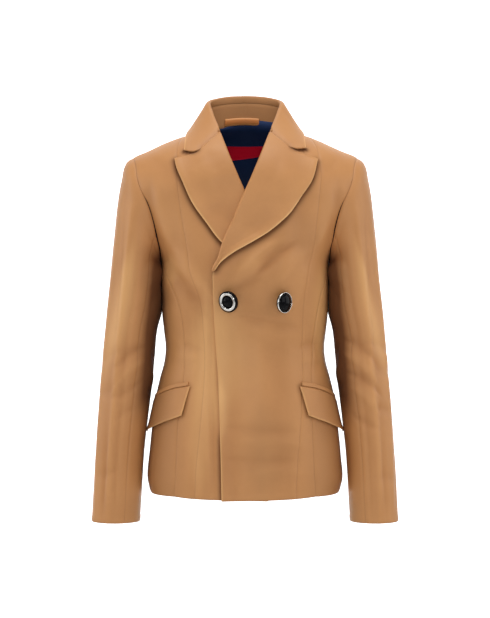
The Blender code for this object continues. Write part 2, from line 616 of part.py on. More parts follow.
def lapel(side, s, v):
    """A lapel: it rises over the front's edge and lies on the front to its outer edge."""
    column = s * LAPEL_COLUMNS
    share = np.interp(column, range(LAPEL_NOSE_COLUMNS, LAPEL_COLUMNS + 1),
                      LAPEL_SPREAD[:LAPEL_COLUMNS - LAPEL_NOSE_COLUMNS + 1])
    z_roll = BREAK + (ROLL_TOP - BREAK) * v
    x_roll = front_edge(z_roll)[0]
    x_edge, z_edge = Curve(LAPEL_EDGE[side])(v)
    top_x, top_z = lapel_top(side, share)
    straight_x = x_roll[-1:] + (x_edge[-1:] - x_roll[-1:]) * share
    straight_z = z_roll[-1:] + (z_edge[-1:] - z_roll[-1:]) * share
    bend = ease(v, 0.55, 1.0)
    x = x_roll + (x_edge - x_roll) * share + (top_x - straight_x) * bend
    z = z_roll + (z_edge - z_roll) * share + (top_z - straight_z) * bend
    width = np.hypot(x_edge - x_roll, z_edge - z_roll)
    nose = np.minimum(NOSE_WIDTH, 0.4 * width)
    rise = Curve(ROLL_RISE[side])(z_roll)[0]
    angle = np.radians(np.interp(column, range(LAPEL_NOSE_COLUMNS + 1), LAPEL_NOSE_TURN))
    fade = np.cos(np.clip(share / LAPEL_ROLL, 0, 1) * math.pi / 2) ** 2
    in_nose = column < LAPEL_NOSE_COLUMNS
    turned_over = LAPEL_START + (LAYER + rise - LAPEL_START) * np.sin(angle)
    out = np.where(in_nose, turned_over, LAYER + rise * fade)
    out = np.where(column < 0.5, LAPEL_UNDER, out)
    aside = np.where(in_nose, -NOSE + nose * (1 - np.cos(angle)), (nose - NOSE) * (1 - share))
    x = x + aside * (x_edge - x_roll) / width
    z = z + aside * (z_edge - z_roll) / width
    girth, height = front_place(x, z)
    base = lap_lift(x, z) if side > 0 else 0.0
    return skin(girth, height, base + LAPEL_CLEAR[side] + out)


def collar_parts(place, sign=0.0):
    """Base, fold, middle and edge of the collar's section at a place along the neck."""
    fold_x, fold_y, fold_z, mid_x, mid_y, mid_z, edge_x, behind, lift = collar_row(place)
    rise = sign * COLLAR_SKEW * ease(place, COLLAR_SKEW_START, COLLAR_END)
    base = skin(*yoke_place(*neck_edge(place)), NECK_RISE)
    edge = skin(*yoke_place(edge_x, behind + rise), lift)
    fold = np.stack([fold_x, fold_y, fold_z], axis=-1)
    middle = np.stack([mid_x, mid_y + SKIN_SLOPE * rise, mid_z + rise], axis=-1)
    return base, fold, middle, edge


def notch_dip(place, share):
    """How the fall's ends dip towards the lapel's notch, at a share of the fall."""
    at, spread = COLLAR_NOTCH_AT
    dip = COLLAR_NOTCH * math.exp(-((share - at) / spread) ** 2)
    dip = -dip * ease(place, COLLAR_SKEW_START, COLLAR_END)
    return np.stack([0 * dip, SKIN_SLOPE * dip, dip], axis=-1)


def half_neck(s):
    """Place along the neck, and side, of a share of the whole collar."""
    return np.abs(2 * s - 1) * COLLAR_END, np.where(s < 0.5, -1.0, 1.0)


def mirrored(points, sign):
    """Points with x turned to the given side."""
    return points * np.stack([sign, np.ones_like(sign), np.ones_like(sign)], axis=-1)


def stand_share(place):
    """Share of the way from neck edge to fold that the stand reaches."""
    return STAND_SHARE[0] + (STAND_SHARE[1] - STAND_SHARE[0]) * ease(place, *STAND_LESS)


def collar_stand(side, s, v):
    """The stand, from the neck edge up to where the fall starts inside the collar."""
    place, sign = half_neck(s)
    base, fold, middle, edge = collar_parts(place)
    return mirrored(base + (fold - base) * (v * stand_share(place))[..., None], sign)


def collar(side, s, v):
    """The fall, which starts above the stand inside, turns over and comes down."""
    place, sign = half_neck(s)
    base, fold, middle, edge = collar_parts(place, sign)
    row = np.round(v * COLLAR_ROWS)
    up = fold - base
    length = np.linalg.norm(up, axis=-1, keepdims=True)
    up = up / length
    out = middle - fold
    out = out - up * np.sum(out * up, axis=-1, keepdims=True)
    out = out / np.linalg.norm(out, axis=-1, keepdims=True)
    radius = np.minimum(COLLAR_ROUND, COLLAR_SMALL * length)
    start = base + (fold - base) * stand_share(place)[..., None] + up * STAND_GAP
    centre = fold - up * radius + out * radius
    points = np.where((row == 0)[..., None], start, fold - up * radius)
    for key, angle in COLLAR_TURN:
        turn = math.radians(angle)
        begin = centre - out * radius * math.cos(turn) + up * radius * math.sin(turn)
        points = np.where((row == key)[..., None], begin, points)
    bulge = 2 * middle - 0.5 * begin - 0.5 * edge
    for key, share in COLLAR_FALL:
        bent = (1 - share) ** 2 * begin + 2 * share * (1 - share) * bulge + share ** 2 * edge
        points = np.where((row == key)[..., None], bent + notch_dip(place, share), points)
    return mirrored(points, sign)


def flap(side, s, v):
    """A pocket flap on the side panel, standing away towards its lower edge."""
    top_girth, top_height = flap_top(s)
    lower_girth, lower_height = flap_bottom(s)
    girth = lower_girth + (top_girth - lower_girth) * v
    height = lower_height + (top_height - lower_height) * v
    flare = FLAP_FLARE[0] + (FLAP_FLARE[1] - FLAP_FLARE[0]) * s
    return skin(girth, height, FLAP_LIFT + flare * (1 - v) ** FLAP_BEND)


def welt(side, s, v):
    """The turned strip above a flap."""
    girth, height = flap_top(WELT_ENDS[0] + (WELT_ENDS[1] - WELT_ENDS[0]) * s)
    return skin(girth, height + WELT_GAP + WALL / 2 + WELT_HEIGHT * v, WELT_LIFT)


def back_lining(side, s, v):
    """Lining of the whole back, hung a little inside it."""
    sign = np.where(s < 0.5, -1.0, 1.0)
    x_share = np.abs(2 * s - 1)
    neck_x, neck_behind = neck_edge(LINING_NECK * x_share)
    top_girth, top_height = yoke_place(neck_x, neck_behind + LINING_TOP)
    low_girth = 2 - LINING_WIDTH * x_share
    depth = v * LINING_BOTTOM
    spread = ease(depth, 0, LINING_SPREAD)
    girth = top_girth + (low_girth - top_girth) * spread
    height = top_height - depth
    return mirrored(skin(girth, height, -LINING_DEPTH), sign)


def hanger_loop(side, s, v):
    """The loop inside the collar stand at the nape."""
    x = LOOP_ENDS[0] + (LOOP_ENDS[1] - LOOP_ENDS[0]) * s
    place = np.interp(np.abs(x), neck_edge(np.linspace(0, 0.5, 60))[0], np.linspace(0, 0.5, 60))
    base, fold, middle, edge = collar_parts(place)
    share = (LOOP_UP + LOOP_HEIGHT * v) / (COLLAR[0][3] - LOOP_FOOT)
    points = mirrored(base + (fold - base) * share[..., None], np.sign(x + 1e-9))
    bow = LOOP_OFF + LOOP_BOW * np.sin(s * math.pi)
    points[..., 1] -= bow
    return points


def finish(thing, look, collection):
    """Gives an object its material and its place in the collection."""
    colour, roughness, metallic = look
    material = bpy.data.materials.new(thing.name)
    material.use_nodes = True
    shader = material.node_tree.nodes["Principled BSDF"]
    shader.inputs["Base Color"].default_value = (*colour, 1)
    shader.inputs["Roughness"].default_value = roughness
    shader.inputs["Metallic"].default_value = metallic
    thing.data.materials.append(material)
    collection.objects.link(thing)


def cloth(name, place, side, columns, rows, look, collection, gaps=(0, 0, 0, 0), wall=WALL):
    """One piece of cloth: a grid laid on its surface, with the wall's thickness.

    gaps are what is taken off the left, right, bottom and top edges.
    """
    mesh_builder = bmesh.new()
    bmesh.ops.create_grid(mesh_builder, x_segments=columns, y_segments=rows, size=0.5)
    vertices = sorted(mesh_builder.verts, key=lambda vert: (round(vert.co.y, 5), vert.co.x))
    s = np.array([round((vert.co.x + 0.5) * columns) / columns for vert in vertices])
    v = np.array([round((vert.co.y + 0.5) * rows) / rows for vert in vertices])
    shape = (rows + 1, columns + 1)
    points = place(side, s.reshape(shape), v.reshape(shape))
    trims = (((slice(None), 0), (slice(None), 1), gaps[0]),
             ((slice(None), -1), (slice(None), -2), gaps[1]),
             ((0, slice(None)), (1, slice(None)), gaps[2]),
             ((-1, slice(None)), (-2, slice(None)), gaps[3]))
    for border, inner, gap in trims:
        inward = points[inner] - points[border]
        inward = inward / np.linalg.norm(inward, axis=-1, keepdims=True)
        points[border] = points[border] + inward * gap
    if side < 0:
        points = points * np.array([-1, 1, 1])
    for vert, point in zip(vertices, points.reshape(-1, 3)):
        vert.co = Vector(point * MM)
    mesh = bpy.data.meshes.new(name)
    mesh_builder.to_mesh(mesh)
    mesh_builder.free()
    thing = bpy.data.objects.new(name, mesh)
    finish(thing, look, collection)
    thickness = thing.modifiers.new("Thickness", "SOLIDIFY")
    thickness.thickness = wall * MM
    thickness.offset = 0.0
    return thing


def turned(name, profile, look, collection, closed=False):
    """A turned piece; the profile runs from top to bottom on +X."""
    mesh = bpy.data.meshes.new(name)
    edges = [(i, i + 1) for i in range(len(profile) - 1)]
    if closed:
        edges.append((len(profile) - 1, 0))
    mesh.from_pydata([(r * MM, 0, z * MM) for r, z in profile], edges, [])
    thing = bpy.data.objects.new(name, mesh)
    finish(thing, look, collection)
    screw = thing.modifiers.new("Turn", "SCREW")
    screw.axis = "Z"
    screw.steps = BUTTON_STEPS
    screw.render_steps = BUTTON_STEPS
    screw.use_merge_vertices = True
    screw.merge_threshold = 0.00001
    screw.use_smooth_shade = True
    return thing


def arc(centre_r, centre_z, radius_r, radius_z, start, end, steps):
    """Points of an arc of a profile, angles in degrees from the +r axis."""
    angles = [math.radians(start + (end - start) * i / steps) for i in range(steps + 1)]
    return [(centre_r + radius_r * math.cos(a), centre_z + radius_z * math.sin(a)) for a in angles]


def build_button(name, collection):
    """A thick black button with a metal ring and a domed centre."""
    x, z, face_turn, face_lift, clear = BUTTONS[name]
    shape = BUTTON_SHAPES[name]
    girth, height = front_place(np.array([x]), np.array([z]))
    lift = lap_lift(np.array([x]), np.array([z])) + WALL / 2
    foot = skin(girth, height, lift)[0]
    above = skin(girth, height, lift + 1.0)[0]
    normal = Vector(above - foot).normalized()
    tilt = (Matrix.Rotation(math.radians(face_turn), 3, "Z")
            @ Matrix.Rotation(math.radians(-face_lift), 3, "X"))
    face = (tilt @ normal).normalized()
    stand_off = clear + BUTTON_RADIUS * math.sin(face.angle(normal)) * BUTTON_TILT
    radius, level, size = shape["rim"]
    rim = arc(radius, level, size, size, *RIM_ARC)
    foot_level = -stand_off * BUTTON_FOOT
    foot_edge = [(BUTTON_FOOT_RADIUS, foot_level), (0, foot_level)]
    body = shape["seat"] + rim + shape["belly"] + foot_edge
    ring = arc(*shape["ring"], *RING_ARC)
    pieces = (("body", body, BUTTON_BLACK), ("ring", ring, BUTTON_METAL),
              ("dome", shape["dome"], BUTTON_BLACK))
    turn = face.to_track_quat("Z", "Y").to_matrix().to_4x4()
    place = Vector(foot) + Vector(normal) * stand_off
    for part, profile, look in pieces:
        thing = turned(f"button_{name}_{part}", profile, look, collection, part == "ring")
        thing.matrix_world = Matrix.Translation(place * MM) @ turn


def build():
    """Clears the scene and makes every piece of the jacket in one collection."""
    for old in list(bpy.data.objects):
        bpy.data.objects.remove(old)
    jacket = bpy.data.collections.new("leather_jacket")
    bpy.context.scene.collection.children.link(jacket)
    seam = SEAM_GAP
    arm = ARMHOLE_GAP
    for side, word in ((1, "left"), (-1, "right")):
        cloth(f"front_{word}", front_panel, side, FRONT_COLUMNS, ROWS, LEATHER, jacket,
              (seam, seam, 0, SHOULDER_GAP))
        cloth(f"side_front_{word}", side_front, side, SIDE_FRONT_COLUMNS, ROWS, LEATHER,
              jacket, (seam, arm, 0, SHOULDER_GAP))
        cloth(f"side_panel_{word}", side_panel, side, SIDE_PANEL_COLUMNS, LOW_ROWS, LEATHER,
              jacket, (seam, seam, 0, arm))
        cloth(f"back_{word}", back_panel, side, BACK_COLUMNS, ROWS, LEATHER, jacket,
              (SHOULDER_GAP, arm, 0, SHOULDER_GAP))
        sleeve_rows = len(SLEEVE_RUNS) - 1
        cloth(f"sleeve_top_{word}", top_sleeve, side, TOP_SLEEVE_COLUMNS, sleeve_rows, LEATHER,
              jacket, (SLEEVE_GAP, SLEEVE_GAP, arm, 0))
        cloth(f"sleeve_under_{word}", under_sleeve, side, UNDER_SLEEVE_COLUMNS, sleeve_rows, LEATHER,
              jacket, (SLEEVE_GAP, SLEEVE_GAP, arm, 0))
        cloth(f"lapel_{word}", lapel, side, LAPEL_COLUMNS, LAPEL_ROWS, LEATHER, jacket,
              (0, 0, 0, seam))
        cloth(f"pocket_flap_{word}", flap, side, FLAP_COLUMNS, FLAP_ROWS, LEATHER, jacket)
        cloth(f"pocket_welt_{word}", welt, side, FLAP_COLUMNS, 1, LEATHER, jacket,
              wall=WELT_WALL)
    cloth("collar", collar, 1, COLLAR_COLUMNS, COLLAR_ROWS, LEATHER, jacket,
          (seam, seam, 0, 0))
    cloth("collar_stand", collar_stand, 1, COLLAR_COLUMNS, STAND_ROWS, LEATHER_INSIDE, jacket,
          (seam, seam, 0, 0))
    cloth("back_lining", back_lining, 1, LINING_COLUMNS, LINING_ROWS, LINING_CLOTH, jacket,
          wall=LINING_WALL)
    cloth("hanger_loop", hanger_loop, 1, LOOP_COLUMNS, 1, LOOP_LEATHER, jacket,
          wall=LOOP_WALL)
    for name in BUTTONS:
        build_button(name, jacket)


build()
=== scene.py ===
"""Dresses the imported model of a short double-breasted leather jacket, worn hollow.

The front faces -Y, +Z is up and the wearer's left is +X. Tables and sizes are in
millimetres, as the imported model's source has them, and MM turns them into metres. Each
piece of cloth is a fine grid on the surface that its plain solid has, with the seams'
dips, turned edges and creases laid on it, and its wall comes from Solidify.
"""

import math
from typing import Callable, NamedTuple

import bmesh
import bpy
import numpy as np
from bpy.props import FloatProperty, FloatVectorProperty, PointerProperty
from mathutils import Matrix, Vector


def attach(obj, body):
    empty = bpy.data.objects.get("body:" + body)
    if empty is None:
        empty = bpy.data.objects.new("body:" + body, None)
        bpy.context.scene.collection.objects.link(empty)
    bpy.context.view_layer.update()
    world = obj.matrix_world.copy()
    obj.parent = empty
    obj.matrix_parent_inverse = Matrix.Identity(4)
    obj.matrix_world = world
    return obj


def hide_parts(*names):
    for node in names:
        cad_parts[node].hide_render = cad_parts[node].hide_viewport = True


bl_info = {
    "name": "Leather Jacket",
    "version": (1, 0, 0),
    "blender": (4, 5, 0),
    "location": "View3D > Sidebar > Jacket",
    "description": "Builds the cloth, buttons and studio of a worn leather jacket",
    "category": "Object",
}

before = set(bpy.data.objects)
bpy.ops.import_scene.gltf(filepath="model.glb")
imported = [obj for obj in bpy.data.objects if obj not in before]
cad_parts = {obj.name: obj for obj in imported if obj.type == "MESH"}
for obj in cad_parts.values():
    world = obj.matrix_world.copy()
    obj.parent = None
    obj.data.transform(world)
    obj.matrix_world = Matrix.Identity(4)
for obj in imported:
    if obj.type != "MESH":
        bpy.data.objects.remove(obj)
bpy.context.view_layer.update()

MM = 0.001

WALL = 2.0            # one layer of leather
LAYER = 3.0           # from the middle of a layer to the middle of one lying on it
NECK_RISE = 1.6       # the collar stand starts this far above the neck edge

# The figure's section at each height: an oval with squared corners.
SQUARENESS = 2.35
#        height, half width, front, back
TORSO = [(-602, 153.5, 123.5, 110.5),
         (-578, 161.5, 123.5, 112.0),
         (-530, 159.5, 121.0, 113.0),
         (-490, 155.5, 117.0, 112.0),
         (-455, 151.5, 112.5, 109.0),
         (-432, 148.0, 109.0, 106.0),
         (-400, 140.5, 103.5, 101.0),
         (-378, 134.5, 99.5, 96.5),
         (-353, 132.0, 97.0, 92.5),
         (-325, 134.8, 98.5, 91.0),
         (-300, 137.5, 103.0, 92.5),
         (-265, 138.5, 110.0, 95.5),
         (-230, 138.8, 116.5, 99.5),
         (-208, 139.5, 119.0, 102.0),
         (-197, 143.0, 119.5, 103.0),
         (-166, 163.0, 118.0, 105.5),
         (-124, 186.0, 113.5, 107.5),
         (-88, 211.0, 108.0, 108.0),
         (-31, 243.0, 103.0, 107.0),
         (20, 262.0, 98.0, 105.0),
         (85, 276.0, 96.0, 103.0)]
BUST = 7.0            # extra fullness that the front seams give over each bust
BUST_PLACE = (82.0, -212.0)
BUST_SPREAD = (46.0, 55.0)
# The shoulder ridge: y at the shoulder, more at the neck and its spread; then z at the
# middle, slope, droop per square millimetre, more at the neck and its spread, and the
# shoulder's end: where it is, more there and its spread.
RIDGE_Y = (6.0, 34.0, 60.0)
RIDGE_Z = (19.4, 0.025, 0.00156, 5.0, 45.0)
RIDGE_END = (188.0, 4.5, 20.0)
SHOULDER_REACH = 100.0  # the chest rounds over into the shoulder within this height
HEM_LEVEL = -595.5    # height of the hem, on average
HEM_DIP = 3.5         # how much lower it is at centre front and back, and higher at the sides

LOW_ROWS = 12         # rows of faces from the hem to the underarm
TOP_ROWS = 8          # rows from the underarm to the shoulder
ROWS = LOW_ROWS + TOP_ROWS
UNDERARM = -204.0     # height of the row where the armholes start
SHAPED_HEM = 0.4      # girth at which the shaped seam meets the hem,
SIDE_HEM = 0.6        # the side seam
REAR_HEM = 1.36       # and the seam between side panel and back
SLOPE_STEPS = (0.002, 0.2)  # girth and height over which the surface's slope is taken
BACK_NECK_COLUMNS = 3  # of the back's columns, those that end at the neck edge
BACK_YOKE_COLUMNS = 1  # and from there to where the shaped front seam meets it
BACK_COLUMNS = 8

# The armhole: turn is 90 degrees at the shoulder point and -90 under the arm.
#          turn, girth, height
ARMHOLE = [(-90, 1.000, -208.0),
           (-75, 0.932, -205.0),
           (-60, 0.856, -196.8),
           (-45, 0.780, -183.5),
           (-30, 0.712, -166.0),
           (0, 0.642, -124.5),
           (30, 0.601, -81.0),
           (60, 0.541, -34.5),
           (90, 0.5125, 20.6)]
ARMHOLE_FRONT_END = -72.2   # turn at which the side panel's front seam meets the armhole
ON_BACK = 89.999      # mirrored, this is the shoulder point as the last point of the back

SHOULDER_END = 189.0  # distance from the middle to the shoulder point
NECK_POINT = 75.0     # to where the shoulder seam meets the collar
YOKE_SEAM = 99.0      # to where the shaped front seam meets the shoulder seam
RIDGE_BEHIND = 0.001  # the back's top edge lies this far behind the ridge, to count as back

# Shaped front seams: height and distance from the middle, up to near the shoulder.
FRONT_SEAM = {
    1: [(-600, 82.0), (-549, 84.0), (-509, 87.3), (-469, 90.7), (-398, 93.3), (-323, 94.0),
        (-274, 96.2), (-226, 103.4), (-187, 111.6), (-145, 116.6), (-105, 121.0), (-58, 124.0),
        (-25, 119.0)],
    -1: [(-600, 81.0), (-549, 79.3), (-501, 74.5), (-453, 69.8), (-398, 65.2), (-356, 65.2),
         (-323, 67.3), (-278, 73.0), (-223, 89.0), (-190, 94.0), (-122, 105.8), (-72, 111.3),
         (-25, 112.0)]}
SEAM_BENDS = 0.82     # share of its way up from the underarm where it leaves the table
# Seam between side front and side panel: height and distance from the middle.
SIDE_SEAM = {
    1: [(-600, 115.0), (-550, 112.3), (-476, 109.2), (-398, 109.0), (-340, 112.0),
        (-307, 116.5), (-265, 125.0), (-235, 133.0), (-204, 139.0)],
    -1: [(-600, 115.0), (-550, 112.3), (-476, 109.2), (-398, 99.7), (-340, 99.7),
         (-307, 103.0), (-284, 107.5), (-265, 115.0), (-235, 128.3), (-204, 139.0)]}
# Seam between side panel and back: height and girth.
BACK_SEAM = [(-600, 1.36), (-450, 1.36), (-355, 1.37), (-300, 1.33), (-265, 1.28),
             (-235, 1.20), (-204, 1.08)]

# Front edge and roll line of a front, measured from the middle towards its own side.
FRONT_EDGE = [(-602, -37.0), (-400, -43.4), (-300, -49.4), (-250, -50.8), (-226, -50.0),
              (-214, -44.8), (-181, -33.4), (-145, -17.6), (-98, 3.0), (-49, 23.8),
              (-19, 35.4), (-4, 41.0)]
BREAK = -226.0        # the lapel starts to turn back at this height
ROLL_TOP = -4.0       # and meets the collar at this one
ROLL_ROWS = 6         # rows of the front from the underarm up to there

# Neck edge: distance from the middle and distance behind the shoulder ridge.
#       place, x, behind        place runs from 0 at centre back to 1 at the roll line
NECK = [(0.00, 0.0, 26.0),
        (0.16, 28.0, 22.5),
        (0.32, 52.0, 14.0),
        (0.44, 68.0, 5.0),
        (0.50, 75.0, 0.0),
        (0.62, 73.0, -18.0),
        (0.80, 60.0, -44.0),
        (1.00, 41.4, -68.8)]

# The over front (wearer's left) rises where it laps on the under front and its lapel.
LAP_LAYER = 3.2       # as far as this,
LAP_FADE = (57.0, 92.0)  # and less between these distances from the middle,
LAP_DOUBLE = (-290.0, -245.0)  # twice as far from between these heights up,
LAP_END = (-110.0, -30.0)  # and less again from between these up

# Outer edge of each lapel, from the break to the peak: share of the way, x, z.
LAPEL_EDGE = {
    1: [(0.00, -47.0, -224.5), (0.10, -38.5, -212.8), (0.22, -17.5, -197.3),
        (0.35, 10.8, -182.5), (0.49, 40.2, -164.0), (0.62, 63.0, -143.5),
        (0.80, 90.6, -106.0), (0.92, 109.5, -76.0), (1.00, 117.0, -47.5)],
    -1: [(0.00, -46.5, -226.0), (0.12, -24.0, -216.0), (0.26, 8.0, -201.0),
         (0.40, 37.3, -181.7), (0.56, 63.3, -148.0), (0.72, 85.4, -115.0),
         (0.86, 100.5, -82.0), (0.95, 110.5, -59.0), (1.00, 113.5, -46.0)]}
NOTCH = {1: (73.0, -28.5), -1: (77.5, -35.5)}      # inner corner of the notch
# How far the lapels' roll stands up: height and rise.
ROLL_RISE = {1: [(-230, 1.0), (-150, 2.2), (-60, 3.6), (0, 4.6)],
             -1: [(-230, 0.0), (-105, 0.0), (-60, 2.2), (0, 4.6)]}
LAPEL_CLEAR = {1: 1.0, -1: 0.3}  # over the layer it lies on
LAPEL_COLUMNS = 10
LAPEL_NOSE_COLUMNS = 4  # of those, the ones that turn over the front's edge
LAPEL_NOSE_TURN = (0, 0, 32, 63, 90)
LAPEL_SPREAD = (0.0, 0.10, 0.26, 0.45, 0.65, 0.83, 1.0)
LAPEL_UNDER = -0.8    # its first edge lies this far under the front's middle surface
LAPEL_START = 0.4     # and its second one this far over it
LAPEL_ROLL = 0.7      # the roll's rise fades out over this share of the width
LAPEL_TOP_FROM = 0.55  # from this share of its height its rows bend to its top edge
NOTCH_SHARE = 0.45    # share of the top edge that is sewn to the collar
NOSE = 2.1            # the lapel passes this far in front of the front's edge
NOSE_WIDTH = 3.2      # and turns over it within this width,
NOSE_SHARE = 0.4      # but no more than this share of its own

# Collar, for one half: place along the neck, fold, middle and outer edge of the fall.
#         place,   fold x, y, z,        middle x, y, z,      edge x, behind, lift
COLLAR = [(0.00, 0.0, 58.0, 75.5, 0.0, 77.0, 45.0, 0.0, 52.0, 3.0),
          (0.16, 26.0, 54.5, 74.0, 34.0, 74.0, 44.0, 42.0, 50.0, 3.0),
          (0.32, 45.0, 42.0, 69.5, 61.5, 58.0, 41.0, 75.0, 41.0, 3.0),
          (0.44, 56.0, 24.0, 63.0, 77.0, 32.0, 36.0, 92.0, 23.0, 3.0),
          (0.52, 57.3, 8.0, 56.0, 81.0, 7.0, 31.0, 96.0, 0.0, 3.0),
          (0.64, 53.5, -9.0, 42.0, 81.0, -19.0, 18.0, 97.0, -26.0, 3.0),
          (0.80, 48.0, -28.5, 24.0, 77.5, -48.0, -1.0, 98.0, -55.0, 3.4),
          (0.975, 40.6, -55.5, 5.2, 74.8, -77.4, -23.2, 98.7, -81.0, 3.4)]
COLLAR_END = 0.975
COLLAR_SKEW = 2.4     # its ends are this much higher on the left, and lower on the right
COLLAR_SKEW_START = 0.8  # beyond this place
COLLAR_NOTCH = 2.6    # and dip this much where the notch starts, at this share of the fall
COLLAR_NOTCH_AT = (0.55, 0.16)  # with this spread
SKIN_SLOPE = 0.56     # how much the chest recedes for each millimetre up, near the notch
COLLAR_TURN = (45, 95, 145)  # angles of the section's rows in the turn at the fold
COLLAR_FALL = (0.2, 0.4, 0.6, 0.8, 1.0)  # and shares of the way down of those in the fall
COLLAR_ROW_LENGTHS = (0, 9, 12, 15.5, 19, 30, 41, 52, 63, 74)  # run of all its rows
COLLAR_ROUND = 3.6    # radius at the fold,
COLLAR_SMALL = 0.16   # but no more than this share of the height from neck to fold
STAND_SHARE = (0.76, 0.55)  # the stand reaches this share of the way to the fold,
STAND_LESS = (0.5, 0.96)    # and the second one at its ends, between these places
STAND_GAP = 0.7       # where the collar's inner edge meets the stand

# Sleeve rings: run down the sleeve, inner x and z, outer x and z, middle y, half depth.
SLEEVE = [(0, 142.5, -206.0, 189.0, -36.5, 2.0, 70.0),
          (9, 142.0, -213.0, 198.5, -44.0, 2.0, 71.0),
          (30, 138.0, -222.0, 207.0, -77.0, 3.0, 74.0),
          (60, 134.5, -232.0, 213.5, -122.0, 3.0, 76.0),
          (92, 134.0, -243.0, 218.3, -168.0, 3.0, 75.0),
          (124, 134.5, -257.0, 222.7, -215.0, 3.0, 73.0),
          (165, 138.0, -286.0, 228.3, -272.0, 2.0, 69.5),
          (212, 148.5, -325.0, 233.0, -325.0, 0.0, 66.0),
          (257, 152.6, -370.0, 237.0, -370.0, -2.0, 62.5),
          (302, 156.8, -415.0, 240.6, -415.0, -5.0, 59.5),
          (352, 162.8, -465.0, 244.2, -465.0, -9.0, 56.5),
          (402, 168.4, -515.0, 247.5, -515.0, -13.0, 53.0),
          (452, 171.8, -565.0, 250.5, -565.0, -17.0, 50.0),
          (497, 174.2, -609.0, 252.8, -609.0, -20.0, 47.0),
          (531, 176.0, -641.5, 254.3, -641.5, -22.0, 45.0)]
SLEEVE_LENGTH = 531.0
SLEEVE_JOIN = 60.0    # the sleeve takes up the armhole's own shape within this run
UNDERARM_CLEAR = 3.0  # the sleeve starts this far out from the body under the arm
ARM_CLEAR = 3.9       # and lies against it at this distance below
ARM_CLEAR_FADE = 8.0  # within this height under the arm
SLEEVE_SEAM_RUN = 120.0  # run within which its seams turn
#                turn of the front seam at the armhole and below, and of the back seam
SLEEVE_FRONT_SEAM = (-31.65, -25.0)
SLEEVE_BACK_SEAM = (211.65, 205.0)

# Top and bottom edge of a pocket flap, from its front end to its back end: share of the way,
# girth and height.
FLAP_TOP = [(0.0, 0.419, -415.5), (0.33, 0.60, -421.5), (0.66, 0.80, -432.5),
            (1.0, 1.02, -446.0)]
FLAP_BOTTOM = [(0.0, 0.461, -463.0), (0.33, 0.59, -472.0), (0.66, 0.78, -484.0),
               (1.0, 1.03, -495.5)]
FLAP_LIFT = 2.9       # over the panel at the top edge
FLAP_FLARE = (1.8, 5.6)  # and this much more at the bottom edge, in front and behind
FLAP_BEND = 1.3       # power by which it bends away towards there
WELT_ENDS = (0.04, 0.94)  # share of the flap's top edge that the welt runs along
WELT_LIFT = 2.4       # over the panel
WELT_WALL = 1.2
WELT_HEIGHT = 6.6
WELT_GAP = 0.7        # between the flap and the welt

# Buttons: distance from the middle, height, how many degrees the face is turned aside and
# lifted, and how far the back would stand off the front without that.
BUTTONS = {"edge": (-23.2, -273.5, -31.0, 0.0, -0.7), "side": (58.3, -275.2, 35.0, 10.0, -0.6)}
BUTTON_RADIUS = 17.4  # which, as it turns, takes the back off the front
# Radius and height of the rim's middle and its size, of the seat for ring and dome, the
# belly under the rim, the dome, and the ring's middle and half its sizes.
BUTTON_SHAPES = {
    "edge": {"rim": (15.6, 7.0, 1.9),
             "seat": [(0, 6.4), (9.4, 6.4), (9.4, 7.2), (16.2, 7.2)],
             "belly": [(17.0, 2.6), (14.5, 0.5)],
             "dome": [(0, 9.8), (3.4, 9.5), (6.4, 8.8), (8.4, 7.9), (9.0, 6.9), (8.8, 6.7),
                      (0, 6.7)],
             "ring": (13.0, 7.5, 2.6, 2.4)},
    "side": {"rim": (15.9, 1.8, 1.2),
             "seat": [(0, 3.0), (15.9, 3.0)],
             "belly": [(12.0, 0.2)],
             "dome": [(0, 10.0), (5.2, 9.6), (9.8, 8.4), (13.2, 6.8), (15.0, 5.1), (15.2, 3.3),
                      (0, 3.3)],
             "ring": (16.4, 3.3, 0.9, 1.9)}}
BUTTON_FOOT_RADIUS = 7.5
BUTTON_FOOT = 0.55    # the foot reaches this share of the way from the back to the front
BUTTON_TILT = 0.98    # its back stands off by this share of how far its rim dips when turned
BUTTON_STEPS = 72     # faces round a button
RIM_ARC = (80, -70, 12)   # angles from which and to which the rim's section is round,
RING_ARC = (180, 0, 14)   # and the ring's, with their steps
MERGE = 0.000002      # points of a turned piece this close, in metres, are one

LOOP_ENDS = (-34.5, 24.0)
LOOP_HEIGHT = 7.0
LOOP_UP = 6.0         # its lower edge lies this far up the stand
LOOP_FOOT = 19.5      # height of the stand's foot at centre back
LOOP_WALL = 1.0
LOOP_OFF = 2.3        # from the stand's middle surface to the loop's at its ends
LOOP_BOW = 1.4        # and how much further out it bows between them

LINING_DEPTH = 5.4    # from the back's middle surface in to the lining's
LINING_WALL = 1.0
LINING_TOP = 3.0      # its top edge lies this far behind the neck edge
LINING_BOTTOM = 560.0
LINING_NECK = 0.46    # place along the neck edge to which its top edge reaches
LINING_WIDTH = 0.62   # girth from centre back to its side edges
LINING_SPREAD = 170.0  # the depth by which it has that width
NECK_STEPS = 60       # places tried to find one on the back neck edge

# Looks: tones, and textures by how fine they are, with their detail.
CREASE_SHADING = 0.11    # painted shade in troughs and painted highlight on ridges: how much a millimetre of crease moves the leather's tone
HIGHLIGHT_TINT = 0.45      # how strong the painted highlight of finished edges and pale places is
EDGE_HIGHLIGHT_REACH = 1.9      # reach of the painted highlight along a finished edge
# colour of the painted highlights on edges, streaks and pale places
HIGHLIGHT_COLOUR = (0.98, 0.57, 0.235)
